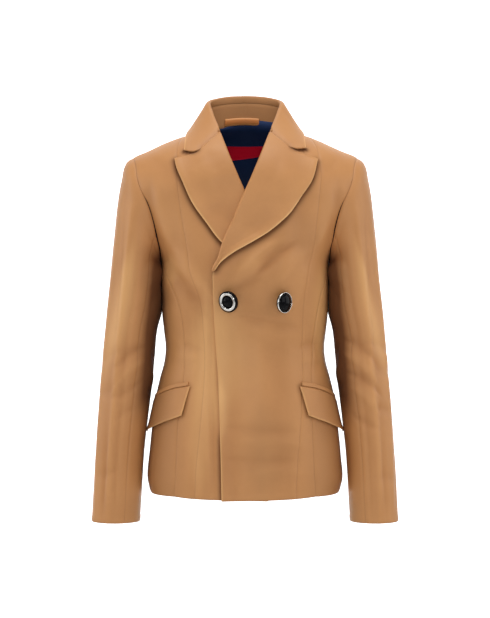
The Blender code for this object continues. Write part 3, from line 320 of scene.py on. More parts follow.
# colour of the painted shade and shadows
PAINTED_SHADE_COLOUR = (0.10, 0.032, 0.010)
PAINTED_SHADE_ROUGH = 0.5      # how much rougher the leather is under the darkest painted shade
SEAM_TINT = 0.55      # how strong the tone of seams is
SEAM_LINE = 0.9       # reach of the darker line along a seam
SEAM_COLOUR = (0.20, 0.10, 0.04)
MOTTLE = {"Scale": 9.0, "Detail": 3.0, "Roughness": 0.55}
FLECKS = {"Scale": 140.0, "Detail": 4.0, "Roughness": 0.6}
PORES = {"Scale": 1150.0}
GRAIN = {"Scale": 520.0, "Detail": 3.0, "Roughness": 0.6}
MOTTLE_TINT = (0.62, 0.14)  # how much the mottling moves the tone, and its least
FLECK_TINT = 0.16
FLECK_ROUGH = 0.22    # how much the flecks change the roughness
PORE_DEPTH = 0.55     # share of the pores in the bump
GRAIN_DEPTH = 0.6     # and of the grain
LEATHER_BUMP = (0.22, 0.0004)  # strength, and depth in metres
LEATHER_SHINE = 0.32
LOOP_DEEP = 0.7       # the loop's tone in troughs, as a share of its colour
LOOP_ROUGH = 0.5
LINING_COLOUR = (0.009, 0.026, 0.090)
LINING_PALE = (0.015, 0.040, 0.130)
LINING_ROUGH = 0.6
LINING_SHINE = 0.18
WEAVE = {"Scale": 900.0, "Distortion": 0.4, "Detail": 1.0}
WEAVE_TINT = 0.35     # how much paler the lining's threads are
WEAVE_BUMP = (0.12, 0.0002)
BAND_COLOUR = (1.0, 0.002, 0.030)
BAND_PALE = (1.0, 0.012, 0.060)
BAND_HIGH = -9.0      # the band's upper edge and, at the middle, its lower one
BAND_LOW = -29.5
BAND_SLOPE = 0.13     # which rises by this share to the wearer's left
BUTTON_COLOUR = (0.004, 0.004, 0.005)
BUTTON_ROUGH = 0.09
BUTTON_SHINE = 0.09
DUST = {"Scale": 420.0, "Detail": 4.0}
DUST_ROUGH = (0.10, 0.03)  # how much dust adds to the roughness, and its least
METAL_COLOUR = (0.74, 0.73, 0.70)
METAL_ROUGH = 0.14
MARKS = {"Scale": 900.0, "Detail": 3.0}
MARK_ROUGH = (0.14, 0.06)  # and the same for the ring's turning marks
MARK_BUMP = (0.05, 0.0001)

# Studio, in metres.
FLOOR = -1.35
FLOOR_FRONT = -6.0    # how far it reaches to the front
WALL_BACK = 3.2
WALL_TOP = 5.0
SWEEP = 1.2           # radius of the bend between floor and wall
SWEEP_STEP = 6        # and the degrees between its rows
PAPER_ROUGH = 0.9
BACKDROP_GLOW = 0.95   # of the wall alone; the floor only takes the lamps' light
STUDIO_WIDTHS = (-7.0, -2.2, 2.2, 7.0)  # the middle of the wall is the lit part
WORLD_LIGHT = 0.26
CAMERA_FAR = 3.0
CAMERA_LEVEL = -0.289
CAMERA_LENS = 104.02
CAMERA_END = 50.0     # it sees as far as this
LAMP_TARGET = (0.0, 0.0, -0.3)
LIGHTS = (
    ("left_box", (-2.3, -1.5, 0.5), (1.4, 1.8), 9.0),
    ("right_box", (2.3, -1.5, 0.5), (1.4, 1.8), 13.0),
    ("top_box", (0.0, -0.5, 2.3), (1.8, 1.4), 38.0),
    ("left_edge_box", (-2.5, 0.2, 0.3), (1.4, 1.8), 16.0),
    ("right_edge_box", (2.5, 0.2, 0.3), (1.4, 1.8), 12.0),
    ("high_box", (0.0, -2.2, 2.1), (1.4, 0.9), 4.0),
    ("front_box", (0.0, -3.4, 0.25), (1.0, 0.7), 14.0),
)


class Curve:
    """Smooth curve through the rows of a short table, whose first column is the key."""

    def __init__(self, rows):
        table = np.array(rows, dtype=float)
        self.keys = table[:, 0]
        self.values = table[:, 1:]
        steps = np.diff(self.keys)[:, None]
        rises = np.diff(self.values, axis=0) / steps
        inner = (rises[:-1] * steps[1:] + rises[1:] * steps[:-1]) / (steps[1:] + steps[:-1])
        self.slopes = np.vstack([rises[:1], inner, rises[-1:]])

    def __call__(self, at):
        at = np.clip(np.asarray(at, dtype=float), self.keys[0], self.keys[-1])
        low = np.clip(np.searchsorted(self.keys, at) - 1, 0, len(self.keys) - 2)
        step = (self.keys[low + 1] - self.keys[low])[..., None]
        t = (at - self.keys[low])[..., None] / step
        start = (1 + 2 * t) * (1 - t) ** 2 * self.values[low]
        end = t * t * (3 - 2 * t) * self.values[low + 1]
        bend = (t * (1 - t) ** 2 * step * self.slopes[low]
                - t * t * (1 - t) * step * self.slopes[low + 1])
        return np.moveaxis(start + end + bend, -1, 0)


torso = Curve(TORSO)
armhole_half = Curve(ARMHOLE)
neck_edge = Curve(NECK)
sleeve_ring = Curve(SLEEVE)
collar_row = Curve(COLLAR)
front_edge = Curve(FRONT_EDGE)
back_seam = Curve(BACK_SEAM)
flap_top = Curve(FLAP_TOP)
flap_bottom = Curve(FLAP_BOTTOM)


def ease(value, start, end):
    """0 before start, 1 after end, and smooth between."""
    t = np.clip((value - start) / (end - start), 0.0, 1.0)
    return t * t * (3 - 2 * t)


def ridge(x):
    """y and z of the shoulder ridge at a distance from the middle."""
    x = np.abs(x)
    behind, at_neck, spread = RIDGE_Y
    y = behind + at_neck * np.exp(-(x / spread) ** 2)
    level, slope, droop, at_neck, spread = RIDGE_Z
    z = level - slope * x - droop * x * x + at_neck * np.exp(-(x / spread) ** 2)
    end, at_end, spread = RIDGE_END
    return y, z + at_end * np.exp(-((x - end) / spread) ** 2)


def figure(girth, height):
    """Points of the figure's surface, as an array whose last axis is x, y, z."""
    half_width, front, back = torso(height)
    turn = np.asarray(girth) * math.pi / 2
    across = np.sin(turn)
    x = half_width * across
    flat = np.clip(1 - np.abs(across) ** SQUARENESS, 0, 1) ** (1 / SQUARENESS)
    is_front = np.cos(turn) >= 0
    y = np.where(is_front, -front, back) * flat
    off_x = (np.abs(x) - BUST_PLACE[0]) / BUST_SPREAD[0]
    off_z = (height - BUST_PLACE[1]) / BUST_SPREAD[1]
    y = y - np.where(is_front, BUST * np.exp(-off_x ** 2 - off_z ** 2), 0) * np.minimum(flat * 2, 1)
    ridge_y, ridge_z = ridge(x)
    over = np.clip((height - ridge_z) / SHOULDER_REACH + 1, 0, math.pi / 2)
    z = np.where(over > 0, ridge_z + SHOULDER_REACH * (np.sin(over) - 1), height)
    y = np.where(over > 0, ridge_y + (y - ridge_y) * np.cos(over), y)
    return np.stack([x, y, z], axis=-1)


def skin(girth, height, out=0.0):
    """Points of the figure's surface, moved out along its normal."""
    girth = np.asarray(girth, dtype=float)
    height = np.asarray(height, dtype=float)
    here = figure(girth, height)
    aside, below = SLOPE_STEPS
    along = figure(girth + aside, height) - figure(girth - aside, height)
    up = here - figure(girth, height - below)
    normal = np.cross(along, up)
    normal /= np.linalg.norm(normal, axis=-1, keepdims=True)
    return here + normal * np.asarray(out)[..., None]


def girth_at(x, height):
    """Girth of a point of the front at a distance from the middle."""
    return np.arcsin(np.clip(x / torso(height)[0], -1, 1)) * 2 / math.pi


def front_place(x, z):
    """Girth and height of a point of the front, from its x and z."""
    ridge_z = ridge(x)[1]
    over = np.clip((z - ridge_z) / SHOULDER_REACH + 1, 0, 1)
    height = np.where(over > 0, ridge_z - SHOULDER_REACH * (1 - np.arcsin(over)), z)
    return girth_at(x, height), height


def yoke_place(x, behind):
    """Girth and height of a point at a distance behind the shoulder ridge."""
    height = ridge(x)[1] + SHOULDER_REACH * (math.pi / 2 - 1) - np.abs(behind)
    girth = girth_at(x, height)
    return np.where(np.asarray(behind) > 0, 2 - girth, girth), height


def hem(girth):
    """Height of the hem at a girth."""
    return HEM_LEVEL - HEM_DIP * np.cos(girth * math.pi)


def low_height(row, girth):
    """Height of a row below the underarm on a seam that ends at the given girth."""
    bottom = hem(girth)
    return bottom + (UNDERARM - bottom) * row / LOW_ROWS


def armhole(turn):
    """Girth and height on the armhole; a turn past 90 degrees lies on the back."""
    turn = (np.asarray(turn, dtype=float) + 90) % 360 - 90
    behind = turn > 90
    girth, height = armhole_half(np.where(behind, 180 - turn, turn))
    return np.where(behind, 2 - girth, girth), height


def shaped_seam(side, row):
    """The princess seam, by row from hem to shoulder."""
    low = low_height(np.minimum(row, LOW_ROWS), SHAPED_HEM)
    top = (row - LOW_ROWS) / TOP_ROWS
    rows = FRONT_SEAM[side]
    end_z = rows[-1][0]
    high = UNDERARM + (end_z - UNDERARM) * np.minimum(top / SEAM_BENDS, 1)
    z = np.where(row <= LOW_ROWS, low, high)
    x = Curve(rows)(z)[0]
    girth, height = front_place(x, z)
    share = np.clip((top - SEAM_BENDS) / (1 - SEAM_BENDS), 0, 1)
    end_girth, end_height = yoke_place(np.full_like(x, YOKE_SEAM), np.zeros_like(x))
    return girth + (end_girth - girth) * share, height + (end_height - height) * share


def up_armhole(row, girth, z, end, behind):
    """A seam of the body, carried on up its half of the armhole to the turn at its end."""
    def hole(share):
        turn = ARMHOLE_FRONT_END + (end - ARMHOLE_FRONT_END) * share
        return armhole(180 - turn if behind else turn)

    start = hole(0.0)
    on_hole = hole(np.clip((row - LOW_ROWS) / TOP_ROWS, 0, 1))
    joined = ease(row, LOW_ROWS - 1, LOW_ROWS)
    above = row > LOW_ROWS
    girth = np.where(above, on_hole[0], girth + (start[0] - girth) * joined)
    return girth, np.where(above, on_hole[1], z + (start[1] - z) * joined)


def side_seam(side, row):
    """Seam between side front and side panel, which runs on up the front armhole."""
    z = low_height(np.minimum(row, LOW_ROWS), SIDE_HEM)
    girth = girth_at(Curve(SIDE_SEAM[side])(z)[0], z)
    return up_armhole(row, girth, z, 90, False)


def rear_seam(side, row):
    """Seam between side panel and back, which runs on up the back armhole."""
    z = low_height(np.minimum(row, LOW_ROWS), REAR_HEM)
    return up_armhole(row, back_seam(z)[0], z, ON_BACK, True)


def centre_back(side, row):
    """The centre back seam, from the hem to the nape."""
    low = low_height(np.minimum(row, LOW_ROWS), 2.0)
    top = yoke_place(np.zeros_like(row), np.full_like(row, NECK[0][2]))[1]
    share = np.clip((row - LOW_ROWS) / TOP_ROWS, 0, 1)
    height = np.where(row <= LOW_ROWS, low, UNDERARM + (top - UNDERARM) * share)
    return np.full_like(height, 2.0), height


def opening_edge(side, row):
    """Front edge, roll line and front neck edge of a front, by row."""
    low = low_height(np.minimum(row, LOW_ROWS), 0.0)
    share = np.clip((row - LOW_ROWS) / ROLL_ROWS, 0, 1)
    z = np.where(row <= LOW_ROWS, low, UNDERARM + (ROLL_TOP - UNDERARM) * share)
    girth, height = front_place(front_edge(z)[0], z)
    place = 1 - 0.5 * np.clip((row - LOW_ROWS - ROLL_ROWS) / (TOP_ROWS - ROLL_ROWS), 0, 1)
    neck_girth, neck_height = yoke_place(*neck_edge(place))
    above = row > LOW_ROWS + ROLL_ROWS
    return np.where(above, neck_girth, girth), np.where(above, neck_height, height)


def fill(left, right, bottom, top, s, v):
    """Girth and height inside four edges, each given as a function of its share."""
    parts = []
    for axis in (0, 1):
        side_to_side = (1 - s) * left(v)[axis] + s * right(v)[axis]
        up_and_down = (1 - v) * bottom(s)[axis] + v * top(s)[axis]
        corners = ((1 - s) * ((1 - v) * left(0 * v)[axis] + v * left(0 * v + 1)[axis])
                   + s * ((1 - v) * right(0 * v)[axis] + v * right(0 * v + 1)[axis]))
        parts.append(side_to_side + up_and_down - corners)
    return parts


def straight(left, right):
    """A straight bottom edge between the starts of two seams."""
    start = [np.ravel(value)[0] for value in left(np.zeros(1))]
    end = [np.ravel(value)[0] for value in right(np.zeros(1))]
    return lambda s: tuple(start[i] + (end[i] - start[i]) * s for i in (0, 1))


def panel(side, s, v, left, right, top, rows=ROWS):
    """Girth and height inside a panel, between two seams given by row and a top edge."""
    def by_share(seam):
        return lambda share: seam(side, share * rows)

    left, right = by_share(left), by_share(right)
    return fill(left, right, straight(left, right), top, s, v)


def shoulder_seam(start, end):
    """A top edge on the shoulder ridge, between two distances from the middle."""
    return lambda share: yoke_place(start + (end - start) * share, 0 * share)


def lap_lift(x, z):
    """How far the over front's middle surface is moved out at a point."""
    lift = LAP_LAYER * (1 + ease(z, *LAP_DOUBLE))
    return lift * (1 - ease(x, *LAP_FADE)) * (1 - ease(z, *LAP_END))


def front_panel(side, s, v):
    """A front, from its edge and roll line to the shaped seam."""
    top = shoulder_seam(NECK_POINT, YOKE_SEAM)
    place = panel(side, s, v, opening_edge, shaped_seam, top)
    flat = skin(*place)
    return skin(*place, lap_lift(flat[..., 0], flat[..., 2])) if side > 0 else flat


def side_front(side, s, v):
    """A side front, from the shaped seam to the side seam and armhole."""
    top = shoulder_seam(YOKE_SEAM, SHOULDER_END)
    return skin(*panel(side, s, v, shaped_seam, side_seam, top))


def side_panel(side, s, v):
    """A side panel, from hem to armhole."""
    def top(share):
        return armhole(ARMHOLE_FRONT_END - (180 + 2 * ARMHOLE_FRONT_END) * share)

    return skin(*panel(side, s, v, side_seam, rear_seam, top, LOW_ROWS))


def back_top_x(s):
    """Distance from the middle of the back's top edge; even steps match the fronts."""
    column = s * BACK_COLUMNS
    yoke = BACK_NECK_COLUMNS + BACK_YOKE_COLUMNS
    keys = [0, BACK_NECK_COLUMNS, yoke, BACK_COLUMNS]
    return np.interp(column, keys, [0, NECK_POINT, YOKE_SEAM, SHOULDER_END])


def neck_place(x):
    """Place along the back neck edge at a distance from the middle."""
    places = np.linspace(0, 0.5, NECK_STEPS)
    return np.interp(x, neck_edge(places)[0], places)


def back_panel(side, s, v):
    """A back, from the centre back seam to the side panel and armhole."""
    def top(share):
        x = back_top_x(share)
        behind = np.where(x < NECK_POINT, neck_edge(neck_place(x))[1], 0)
        return yoke_place(x, np.maximum(behind, RIDGE_BEHIND))

    return skin(*panel(side, s, v, centre_back, rear_seam, top))


def sleeve_point(turn, run):
    """A point of the sleeve: turn is 0 in front, 90 on the outside, 180 behind."""
    angle = np.radians(turn)

    def ring(at):
        inner_x, inner_z, outer_x, outer_z, middle_y, depth = sleeve_ring(at)
        return np.stack([(inner_x + outer_x) / 2 + (outer_x - inner_x) / 2 * np.sin(angle),
                         middle_y - depth * np.cos(angle),
                         (inner_z + outer_z) / 2 + (outer_z - inner_z) / 2 * np.sin(angle)],
                        axis=-1)

    start = skin(*armhole(turn))
    start[..., 0] += UNDERARM_CLEAR * np.clip(-np.sin(angle), 0, 1) ** 3
    fade = np.clip(1 - run / SLEEVE_JOIN, 0, 1)[..., None] ** 2
    points = ring(run) + (start - ring(0 * run)) * fade
    half_width, front, back = torso(points[..., 2])
    inside = np.abs(points[..., 1]) / np.where(points[..., 1] < 0, front, back)
    side = half_width * np.clip(1 - inside ** SQUARENESS, 0, 1) ** (1 / SQUARENESS) + ARM_CLEAR
    push = np.clip(side - points[..., 0], 0, None)
    points[..., 0] += push * (1 - ease(points[..., 2], UNDERARM - ARM_CLEAR_FADE, UNDERARM))
    return points


def sleeve_seam(turns, run):
    """Turn of a sleeve seam at a run."""
    return turns[0] + (turns[1] - turns[0]) * ease(run, 0, SLEEVE_SEAM_RUN)


def top_turn(s, run):
    """Turn of a point of the outer piece, at a share of the way from its front seam."""
    start = sleeve_seam(SLEEVE_FRONT_SEAM, run)
    end = sleeve_seam(SLEEVE_BACK_SEAM, run)
    return start + (end - start) * s


def under_turn(s, run):
    """Turn of a point of the inner piece, at a share of the way from its back seam."""
    start = sleeve_seam(SLEEVE_BACK_SEAM, run)
    end = sleeve_seam(SLEEVE_FRONT_SEAM, run) + 360
    return start + (end - start) * s


def top_sleeve(side, s, v):
    """The sleeve's outer piece, from its front seam over the outside to its back seam."""
    run = v * SLEEVE_LENGTH
    return sleeve_point(top_turn(s, run), run)


def under_sleeve(side, s, v):
    """The sleeve's inner piece, from the back seam under the arm to the front seam."""
    run = v * SLEEVE_LENGTH
    return sleeve_point(under_turn(s, run), run)


def lapel_top(side, s):
    """Top edge of a lapel: the gorge, then the edge from the notch out to the peak."""
    peak = LAPEL_EDGE[side][-1][1:]
    notch = NOTCH[side]
    start = (front_edge(ROLL_TOP)[0], ROLL_TOP)
    return [np.interp(s, (0, NOTCH_SHARE, 1), (start[i], notch[i], peak[i])) for i in (0, 1)]


def lapel(side, s, v):
    """A lapel: it rises over the front's edge and lies on the front to its outer edge."""
    column = s * LAPEL_COLUMNS
    share = np.interp(column, range(LAPEL_NOSE_COLUMNS, LAPEL_COLUMNS + 1),
                      LAPEL_SPREAD[:LAPEL_COLUMNS - LAPEL_NOSE_COLUMNS + 1])
    z_roll = BREAK + (ROLL_TOP - BREAK) * v
    x_roll = front_edge(z_roll)[0]
    x_edge, z_edge = Curve(LAPEL_EDGE[side])(v)
    top_x, top_z = lapel_top(side, share)
    straight_x = x_roll[-1:] + (x_edge[-1:] - x_roll[-1:]) * share
    straight_z = z_roll[-1:] + (z_edge[-1:] - z_roll[-1:]) * share
    bend = ease(v, LAPEL_TOP_FROM, 1.0)
    x = x_roll + (x_edge - x_roll) * share + (top_x - straight_x) * bend
    z = z_roll + (z_edge - z_roll) * share + (top_z - straight_z) * bend
    width = np.hypot(x_edge - x_roll, z_edge - z_roll)
    nose = np.minimum(NOSE_WIDTH, NOSE_SHARE * width)
    rise = Curve(ROLL_RISE[side])(z_roll)[0]
    angle = np.radians(np.interp(column, range(LAPEL_NOSE_COLUMNS + 1), LAPEL_NOSE_TURN))
    fade = np.cos(np.clip(share / LAPEL_ROLL, 0, 1) * math.pi / 2) ** 2
    in_nose = column < LAPEL_NOSE_COLUMNS
    start = LAPEL_UNDER + (LAPEL_START - LAPEL_UNDER) * np.clip(column, 0, 1)
    turned_over = start + (LAYER + rise - start) * np.sin(angle)
    out = np.where(in_nose, turned_over, LAYER + rise * fade)
    aside = np.where(in_nose, -NOSE + nose * (1 - np.cos(angle)), (nose - NOSE) * (1 - share))
    x = x + aside * (x_edge - x_roll) / width
    z = z + aside * (z_edge - z_roll) / width
    girth, height = front_place(x, z)
    base = lap_lift(x, z) if side > 0 else 0.0
    return skin(girth, height, base + LAPEL_CLEAR[side] + out)


def collar_parts(place, sign=0.0):
    """Base, fold, middle and edge of the collar's section at a place along the neck."""
    fold_x, fold_y, fold_z, mid_x, mid_y, mid_z, edge_x, behind, lift = collar_row(place)
    rise = sign * COLLAR_SKEW * ease(place, COLLAR_SKEW_START, COLLAR_END)
    base = skin(*yoke_place(*neck_edge(place)), NECK_RISE)
    edge = skin(*yoke_place(edge_x, behind + rise), lift)
    fold = np.stack([fold_x, fold_y, fold_z], axis=-1)
    middle = np.stack([mid_x, mid_y + SKIN_SLOPE * rise, mid_z + rise], axis=-1)
    return base, fold, middle, edge


def notch_dip(place, share):
    """How the fall's ends dip towards the lapel's notch, at a share of the fall."""
    at, spread = COLLAR_NOTCH_AT
    dip = COLLAR_NOTCH * math.exp(-((share - at) / spread) ** 2)
    dip = -dip * ease(place, COLLAR_SKEW_START, COLLAR_END)
    return np.stack([0 * dip, SKIN_SLOPE * dip, dip], axis=-1)


def half_neck(s):
    """Place along the neck, and side, of a share of the whole collar."""
    return np.abs(2 * s - 1) * COLLAR_END, np.where(s < 0.5, -1.0, 1.0)


def mirrored(points, sign):
    """Points with x turned to the given side."""
    return points * np.stack([sign, np.ones_like(sign), np.ones_like(sign)], axis=-1)


def stand_share(place):
    """Share of the way from neck edge to fold that the stand reaches."""
    return STAND_SHARE[0] + (STAND_SHARE[1] - STAND_SHARE[0]) * ease(place, *STAND_LESS)


def collar_stand(side, s, v):
    """The stand, from the neck edge up to where the fall starts inside the collar."""
    place, sign = half_neck(s)
    base, fold = collar_parts(place)[:2]
    return mirrored(base + (fold - base) * (v * stand_share(place))[..., None], sign)


def through(rows, at):
    """Smooth surface through rows of points, at fractions of a row."""
    low = np.clip(np.floor(at).astype(int), 0, len(rows) - 2)
    t = (at - low)[..., None]

    def row(key):
        key = np.clip(key, 0, len(rows) - 1)
        return np.take_along_axis(rows, key[None, ..., None], axis=0)[0]

    before, start, end, after = row(low - 1), row(low), row(low + 1), row(low + 2)
    return (start + t * (end - before) / 2
            + t * t * (2 * before - 5 * start + 4 * end - after) / 2
            + t ** 3 * (3 * start - before - 3 * end + after) / 2)


def collar(side, s, v):
    """The fall, which starts above the stand inside, turns over and comes down."""
    place, sign = half_neck(s)
    base, fold, middle, edge = collar_parts(place, sign)
    up = fold - base
    length = np.linalg.norm(up, axis=-1, keepdims=True)
    up = up / length
    out = middle - fold
    out = out - up * np.sum(out * up, axis=-1, keepdims=True)
    out = out / np.linalg.norm(out, axis=-1, keepdims=True)
    radius = np.minimum(COLLAR_ROUND, COLLAR_SMALL * length)
    rows = [base + (fold - base) * stand_share(place)[..., None] + up * STAND_GAP,
            fold - up * radius]
    centre = fold - up * radius + out * radius
    for angle in COLLAR_TURN:
        turn = math.radians(angle)
        begin = centre - out * radius * math.cos(turn) + up * radius * math.sin(turn)
        rows.append(begin)
    bulge = 2 * middle - 0.5 * begin - 0.5 * edge
    for share in COLLAR_FALL:
        bent = (1 - share) ** 2 * begin + 2 * share * (1 - share) * bulge + share ** 2 * edge
        rows.append(bent + notch_dip(place, share))
    row = np.interp(v, np.array(COLLAR_ROW_LENGTHS) / COLLAR_ROW_LENGTHS[-1], range(len(rows)))
    return mirrored(through(np.stack(rows), row), sign)


def flap(side, s, v):
    """A pocket flap on the side panel, standing away towards its lower edge."""
    top_girth, top_height = flap_top(s)
    lower_girth, lower_height = flap_bottom(s)
    girth = lower_girth + (top_girth - lower_girth) * v
    height = lower_height + (top_height - lower_height) * v
    flare = FLAP_FLARE[0] + (FLAP_FLARE[1] - FLAP_FLARE[0]) * s
    return skin(girth, height, FLAP_LIFT + flare * (1 - v) ** FLAP_BEND)


def welt(side, s, v):
    """The turned strip above a flap."""
    girth, height = flap_top(WELT_ENDS[0] + (WELT_ENDS[1] - WELT_ENDS[0]) * s)
    return skin(girth, height + WELT_GAP + WALL / 2 + WELT_HEIGHT * v, WELT_LIFT)


def back_lining(side, s, v):
    """Lining of the whole back, hung a little inside it."""
    sign = np.where(s < 0.5, -1.0, 1.0)
    x_share = np.abs(2 * s - 1)
    neck_x, neck_behind = neck_edge(LINING_NECK * x_share)
    top_girth, top_height = yoke_place(neck_x, neck_behind + LINING_TOP)
    low_girth = 2 - LINING_WIDTH * x_share
    depth = v * LINING_BOTTOM
    spread = ease(depth, 0, LINING_SPREAD)
    girth = top_girth + (low_girth - top_girth) * spread
    height = top_height - depth
    return mirrored(skin(girth, height, -LINING_DEPTH), sign)


LINING_LAP = (0.02, 0.05)  # shares of its depth: lapped over the stand, and down from there
LINING_FOOT = 3.0      # it turns down this far below the stand's foot
LINING_UP = 12.5       # as far as this on the wearer's left
LINING_UP_FROM = (-46.0, 4.0)
LINING_OFF = 2.6       # and this far inside the stand's middle surface


def lapped_lining(side, s, v):
    """The lining with its upper edge lapped over the foot of the stand."""
    over, down = LINING_LAP
    points = back_lining(side, s, np.maximum(v, down))
    sign = np.where(s < 0.5, -1.0, 1.0)
    base, fold = collar_parts(LINING_NECK * np.abs(2 * s - 1))[:2]
    rise = (fold - base) / np.linalg.norm(fold - base, axis=-1, keepdims=True)
    inward = -base * np.array([1, 1, 0])
    inward = inward / np.linalg.norm(inward, axis=-1, keepdims=True)
    up = LINING_UP * ease(sign * base[..., 0], *LINING_UP_FROM)
    foot = base + inward * LINING_OFF - rise * LINING_FOOT
    top = base + inward * LINING_OFF + rise * up[..., None]
    foot, top = mirrored(foot, sign), mirrored(top, sign)
    points = points + (foot - points) * np.clip((down - v) / (down - over), 0, 1)[..., None]
    return points + (top - points) * np.clip(1 - v / over, 0, 1)[..., None]


def hanger_loop(side, s, v):
    """The loop inside the collar stand at the nape."""
    x = LOOP_ENDS[0] + (LOOP_ENDS[1] - LOOP_ENDS[0]) * s
    base, fold = collar_parts(neck_place(np.abs(x)))[:2]
    share = (LOOP_UP + LOOP_HEIGHT * v) / (COLLAR[0][3] - LOOP_FOOT)
    points = mirrored(base + (fold - base) * share[..., None], np.where(x < 0, -1.0, 1.0))
    points[..., 1] -= LOOP_OFF + LOOP_BOW * np.sin(s * math.pi)
    return points


# --- Cloth: finer grids than the solids', with seams, edges and creases ---------------

SEAM_KINDS = {"seam": (0.7, 0.3), "armhole": (1.2, 1.0)}  # how deep and dark a seam is
SEAM_REACH = 2.4      # how far from it the panels dip
EDGE_KINDS = {"edge": 1.1, "rim": 1.9, "hem": 0.0}  # how strong a finished edge's painted highlight is, partly paler rubbed leather
RIM_FADE = (0.6, 0.95)  # between these shares of a lapel's height its rim's painted highlight gets less by this share
RIM_LESS = 0.8        # gets less pale by this share
HEM_DARK = 0.7        # how dark a hem's very edge is
TURNING = 9.0         # width of the leather turned in along a finished edge
TURNING_SOFT = (-1.2, 0.8)  # and how far to either side of that it fades
TURNING_RISE = 0.55   # how much that band stands proud
EDGE_DROP = 0.5       # how far the very edge rounds away
EDGE_REACH = 1.4
CLOSE_STEPS = (0.6, 1.5, 2.8, 4.6, 7.0, 10.0)  # distances of the grid lines near a border
CLOSE_REST = 0.6      # least step from them to the even lines, as a share of an even one


def shares(count, length, start, end):
    """Shares from 0 to 1 along a length in millimetres, closer together at its ends."""
    close = np.array(CLOSE_STEPS) / length
    even = np.linspace(0, 1, count + 1)
    low = close if start else np.zeros(0)
    high = 1 - close[::-1] if end else np.zeros(0)
    step = CLOSE_REST / count
    if start:
        even = even[(even == 0) | (even > close[-1] + step)]
    if end:
        even = even[(even == 1) | (even < 1 - close[-1] - step)]
    return np.unique(np.concatenate([even, low, high]))


def run_lengths(points, axis):
    """Distance of each point from the first border along an axis of the grid."""
    steps = np.linalg.norm(np.diff(points, axis=axis), axis=-1)
    start = np.zeros_like(np.take(steps, [0], axis=axis))
    return np.concatenate([start, np.cumsum(steps, axis=axis)], axis=axis)


def grid_normals(points):
    """Unit normals of a grid of points, across its columns and then up its rows."""
    across = np.gradient(points, axis=1)
    up = np.gradient(points, axis=0)
    normal = np.cross(across, up)
    return normal / np.maximum(np.linalg.norm(normal, axis=-1, keepdims=True), 1e-9)


SKEW = 1.5            # creases are this much wider on one side than on the other
THIN = 0.45           # and at their ends this share as wide as at their middle
FADE = 0.25           # they fade out over this share of their length beyond either end
DEEPER = 1.8          # factor of all depths in the tables of creases
WAVES = 9             # waves in a ripple
WAVE_TURNS = (-0.5, 0.5)  # their turns in radians
WAVE_SIZES = (0.7, 1.6)   # and shares of the ripple's size


def strokes(table, a, b, factor=1.0):
    """Sum of soft strokes; each row is where it starts and ends, width, depth and bow."""
    total = np.zeros_like(a)
    for a0, b0, a1, b1, width, depth, bow in table:
        length = math.hypot(a1 - a0, b1 - b0)
        ua, ub = (a1 - a0) / length, (b1 - b0) / length
        along = ((a - a0) * ua + (b - b0) * ub) / length
        aside = (a - a0) * ub - (b - b0) * ua - bow * 4 * along * (1 - along)
        inside = np.clip(along, 0, 1)
        ends = ease(np.minimum(along, 1 - along), -FADE, FADE)
        narrow = width * (THIN + (1 - THIN) * np.sin(math.pi * inside))
        reach = np.where(aside > 0, narrow * SKEW, narrow)
        total = total + factor * depth * np.exp(-(aside / reach) ** 2) * ends
    return total


def ripple(a, b, seed, size, stretch):
    """Smooth uneven waves between -1 and 1, longer along b by the given stretch."""
    draw = np.random.RandomState(seed)
    total = np.zeros_like(a)
    for _ in range(WAVES):
        angle = draw.uniform(*WAVE_TURNS)
        pitch = size * draw.uniform(*WAVE_SIZES)
        phase = draw.uniform(0, 2 * math.pi)
        turned_a = a * math.cos(angle) + b / stretch * math.sin(angle)
        total += np.sin(2 * math.pi * turned_a / pitch + phase)
    return total / WAVES


def ripples(pair, a, b):
    """A ripple across a and another across b, each with its height, seed, size and stretch."""
    (height, *along), (cross_height, *across) = pair
    return height * ripple(a, b, *along) + cross_height * ripple(b, a, *across)


# Creases of the fronts: x and z of each end, width, depth (below zero a trough), bow.
FRONT_CREASES = [
    (78, -186, 22, -231, 8, -2.3, 3),
    (50, -181, -10, -228, 9, 1.9, 2),
    (32, -212, -18, -248, 8, 1.4, 2),
    (22, -242, -20, -262, 8, -1.1, 1),
    (98, -196, 58, -240, 10, 1.1, 4),
    (92, -215, 84, -276, 10, 0.9, -3),
    (-10, -300, 34, -306, 6, -0.7, 2),
    (34, -309, 84, -318, 7, -0.8, -2),
    (10, -322, 70, -331, 8, 0.7, 2),
    (-34, -478, 72, -486, 8, -0.7, 3),
    (-10, -503, 92, -508, 9, 0.7, -3),
    (-34, -530, 78, -534, 7, -0.7, 2),
    (6, -556, 96, -553, 8, 0.6, -2),
    (-24, -340, -18, -590, 16, -1.1, 4),
    (18, -350, 30, -580, 20, 0.9, -5),
    (62, -345, 70, -590, 16, -0.8, 3),
    (-126, -212, -72, -276, 10, -1.7, 4),
    (-114, -190, -62, -252, 11, 1.5, 3),
    (-92, -262, -54, -306, 7, -0.9, 2),
    (-80, -236, -50, -270, 8, 0.8, 2),
    (-62, -274, -57, -570, 5, 0.9, 3),
    (-54, -290, -50, -560, 4, -0.8, 2),
    (-84, -300, -90, -560, 7, 0.6, -3),
    (-102, -345, -72, -356, 6, -0.9, 2),
    (-112, -364, -78, -368, 7, 0.7, -2),
    (120, -346, 90, -354, 6, -0.9, 2),
    (124, -366, 92, -371, 7, 0.7, -2),
    (-156, -90, -137, -182, 11, -1.5, 5),
    (-142, -100, -122, -176, 10, 1.1, 4),
    (153, -90, 136, -182, 11, -1.5, -5),
    (139, -100, 122, -176, 10, 1.1, -4),
    (-150, -44, -96, -64, 12, -0.7, 4),
    (150, -44, 112, -62, 12, -0.7, -4),
]
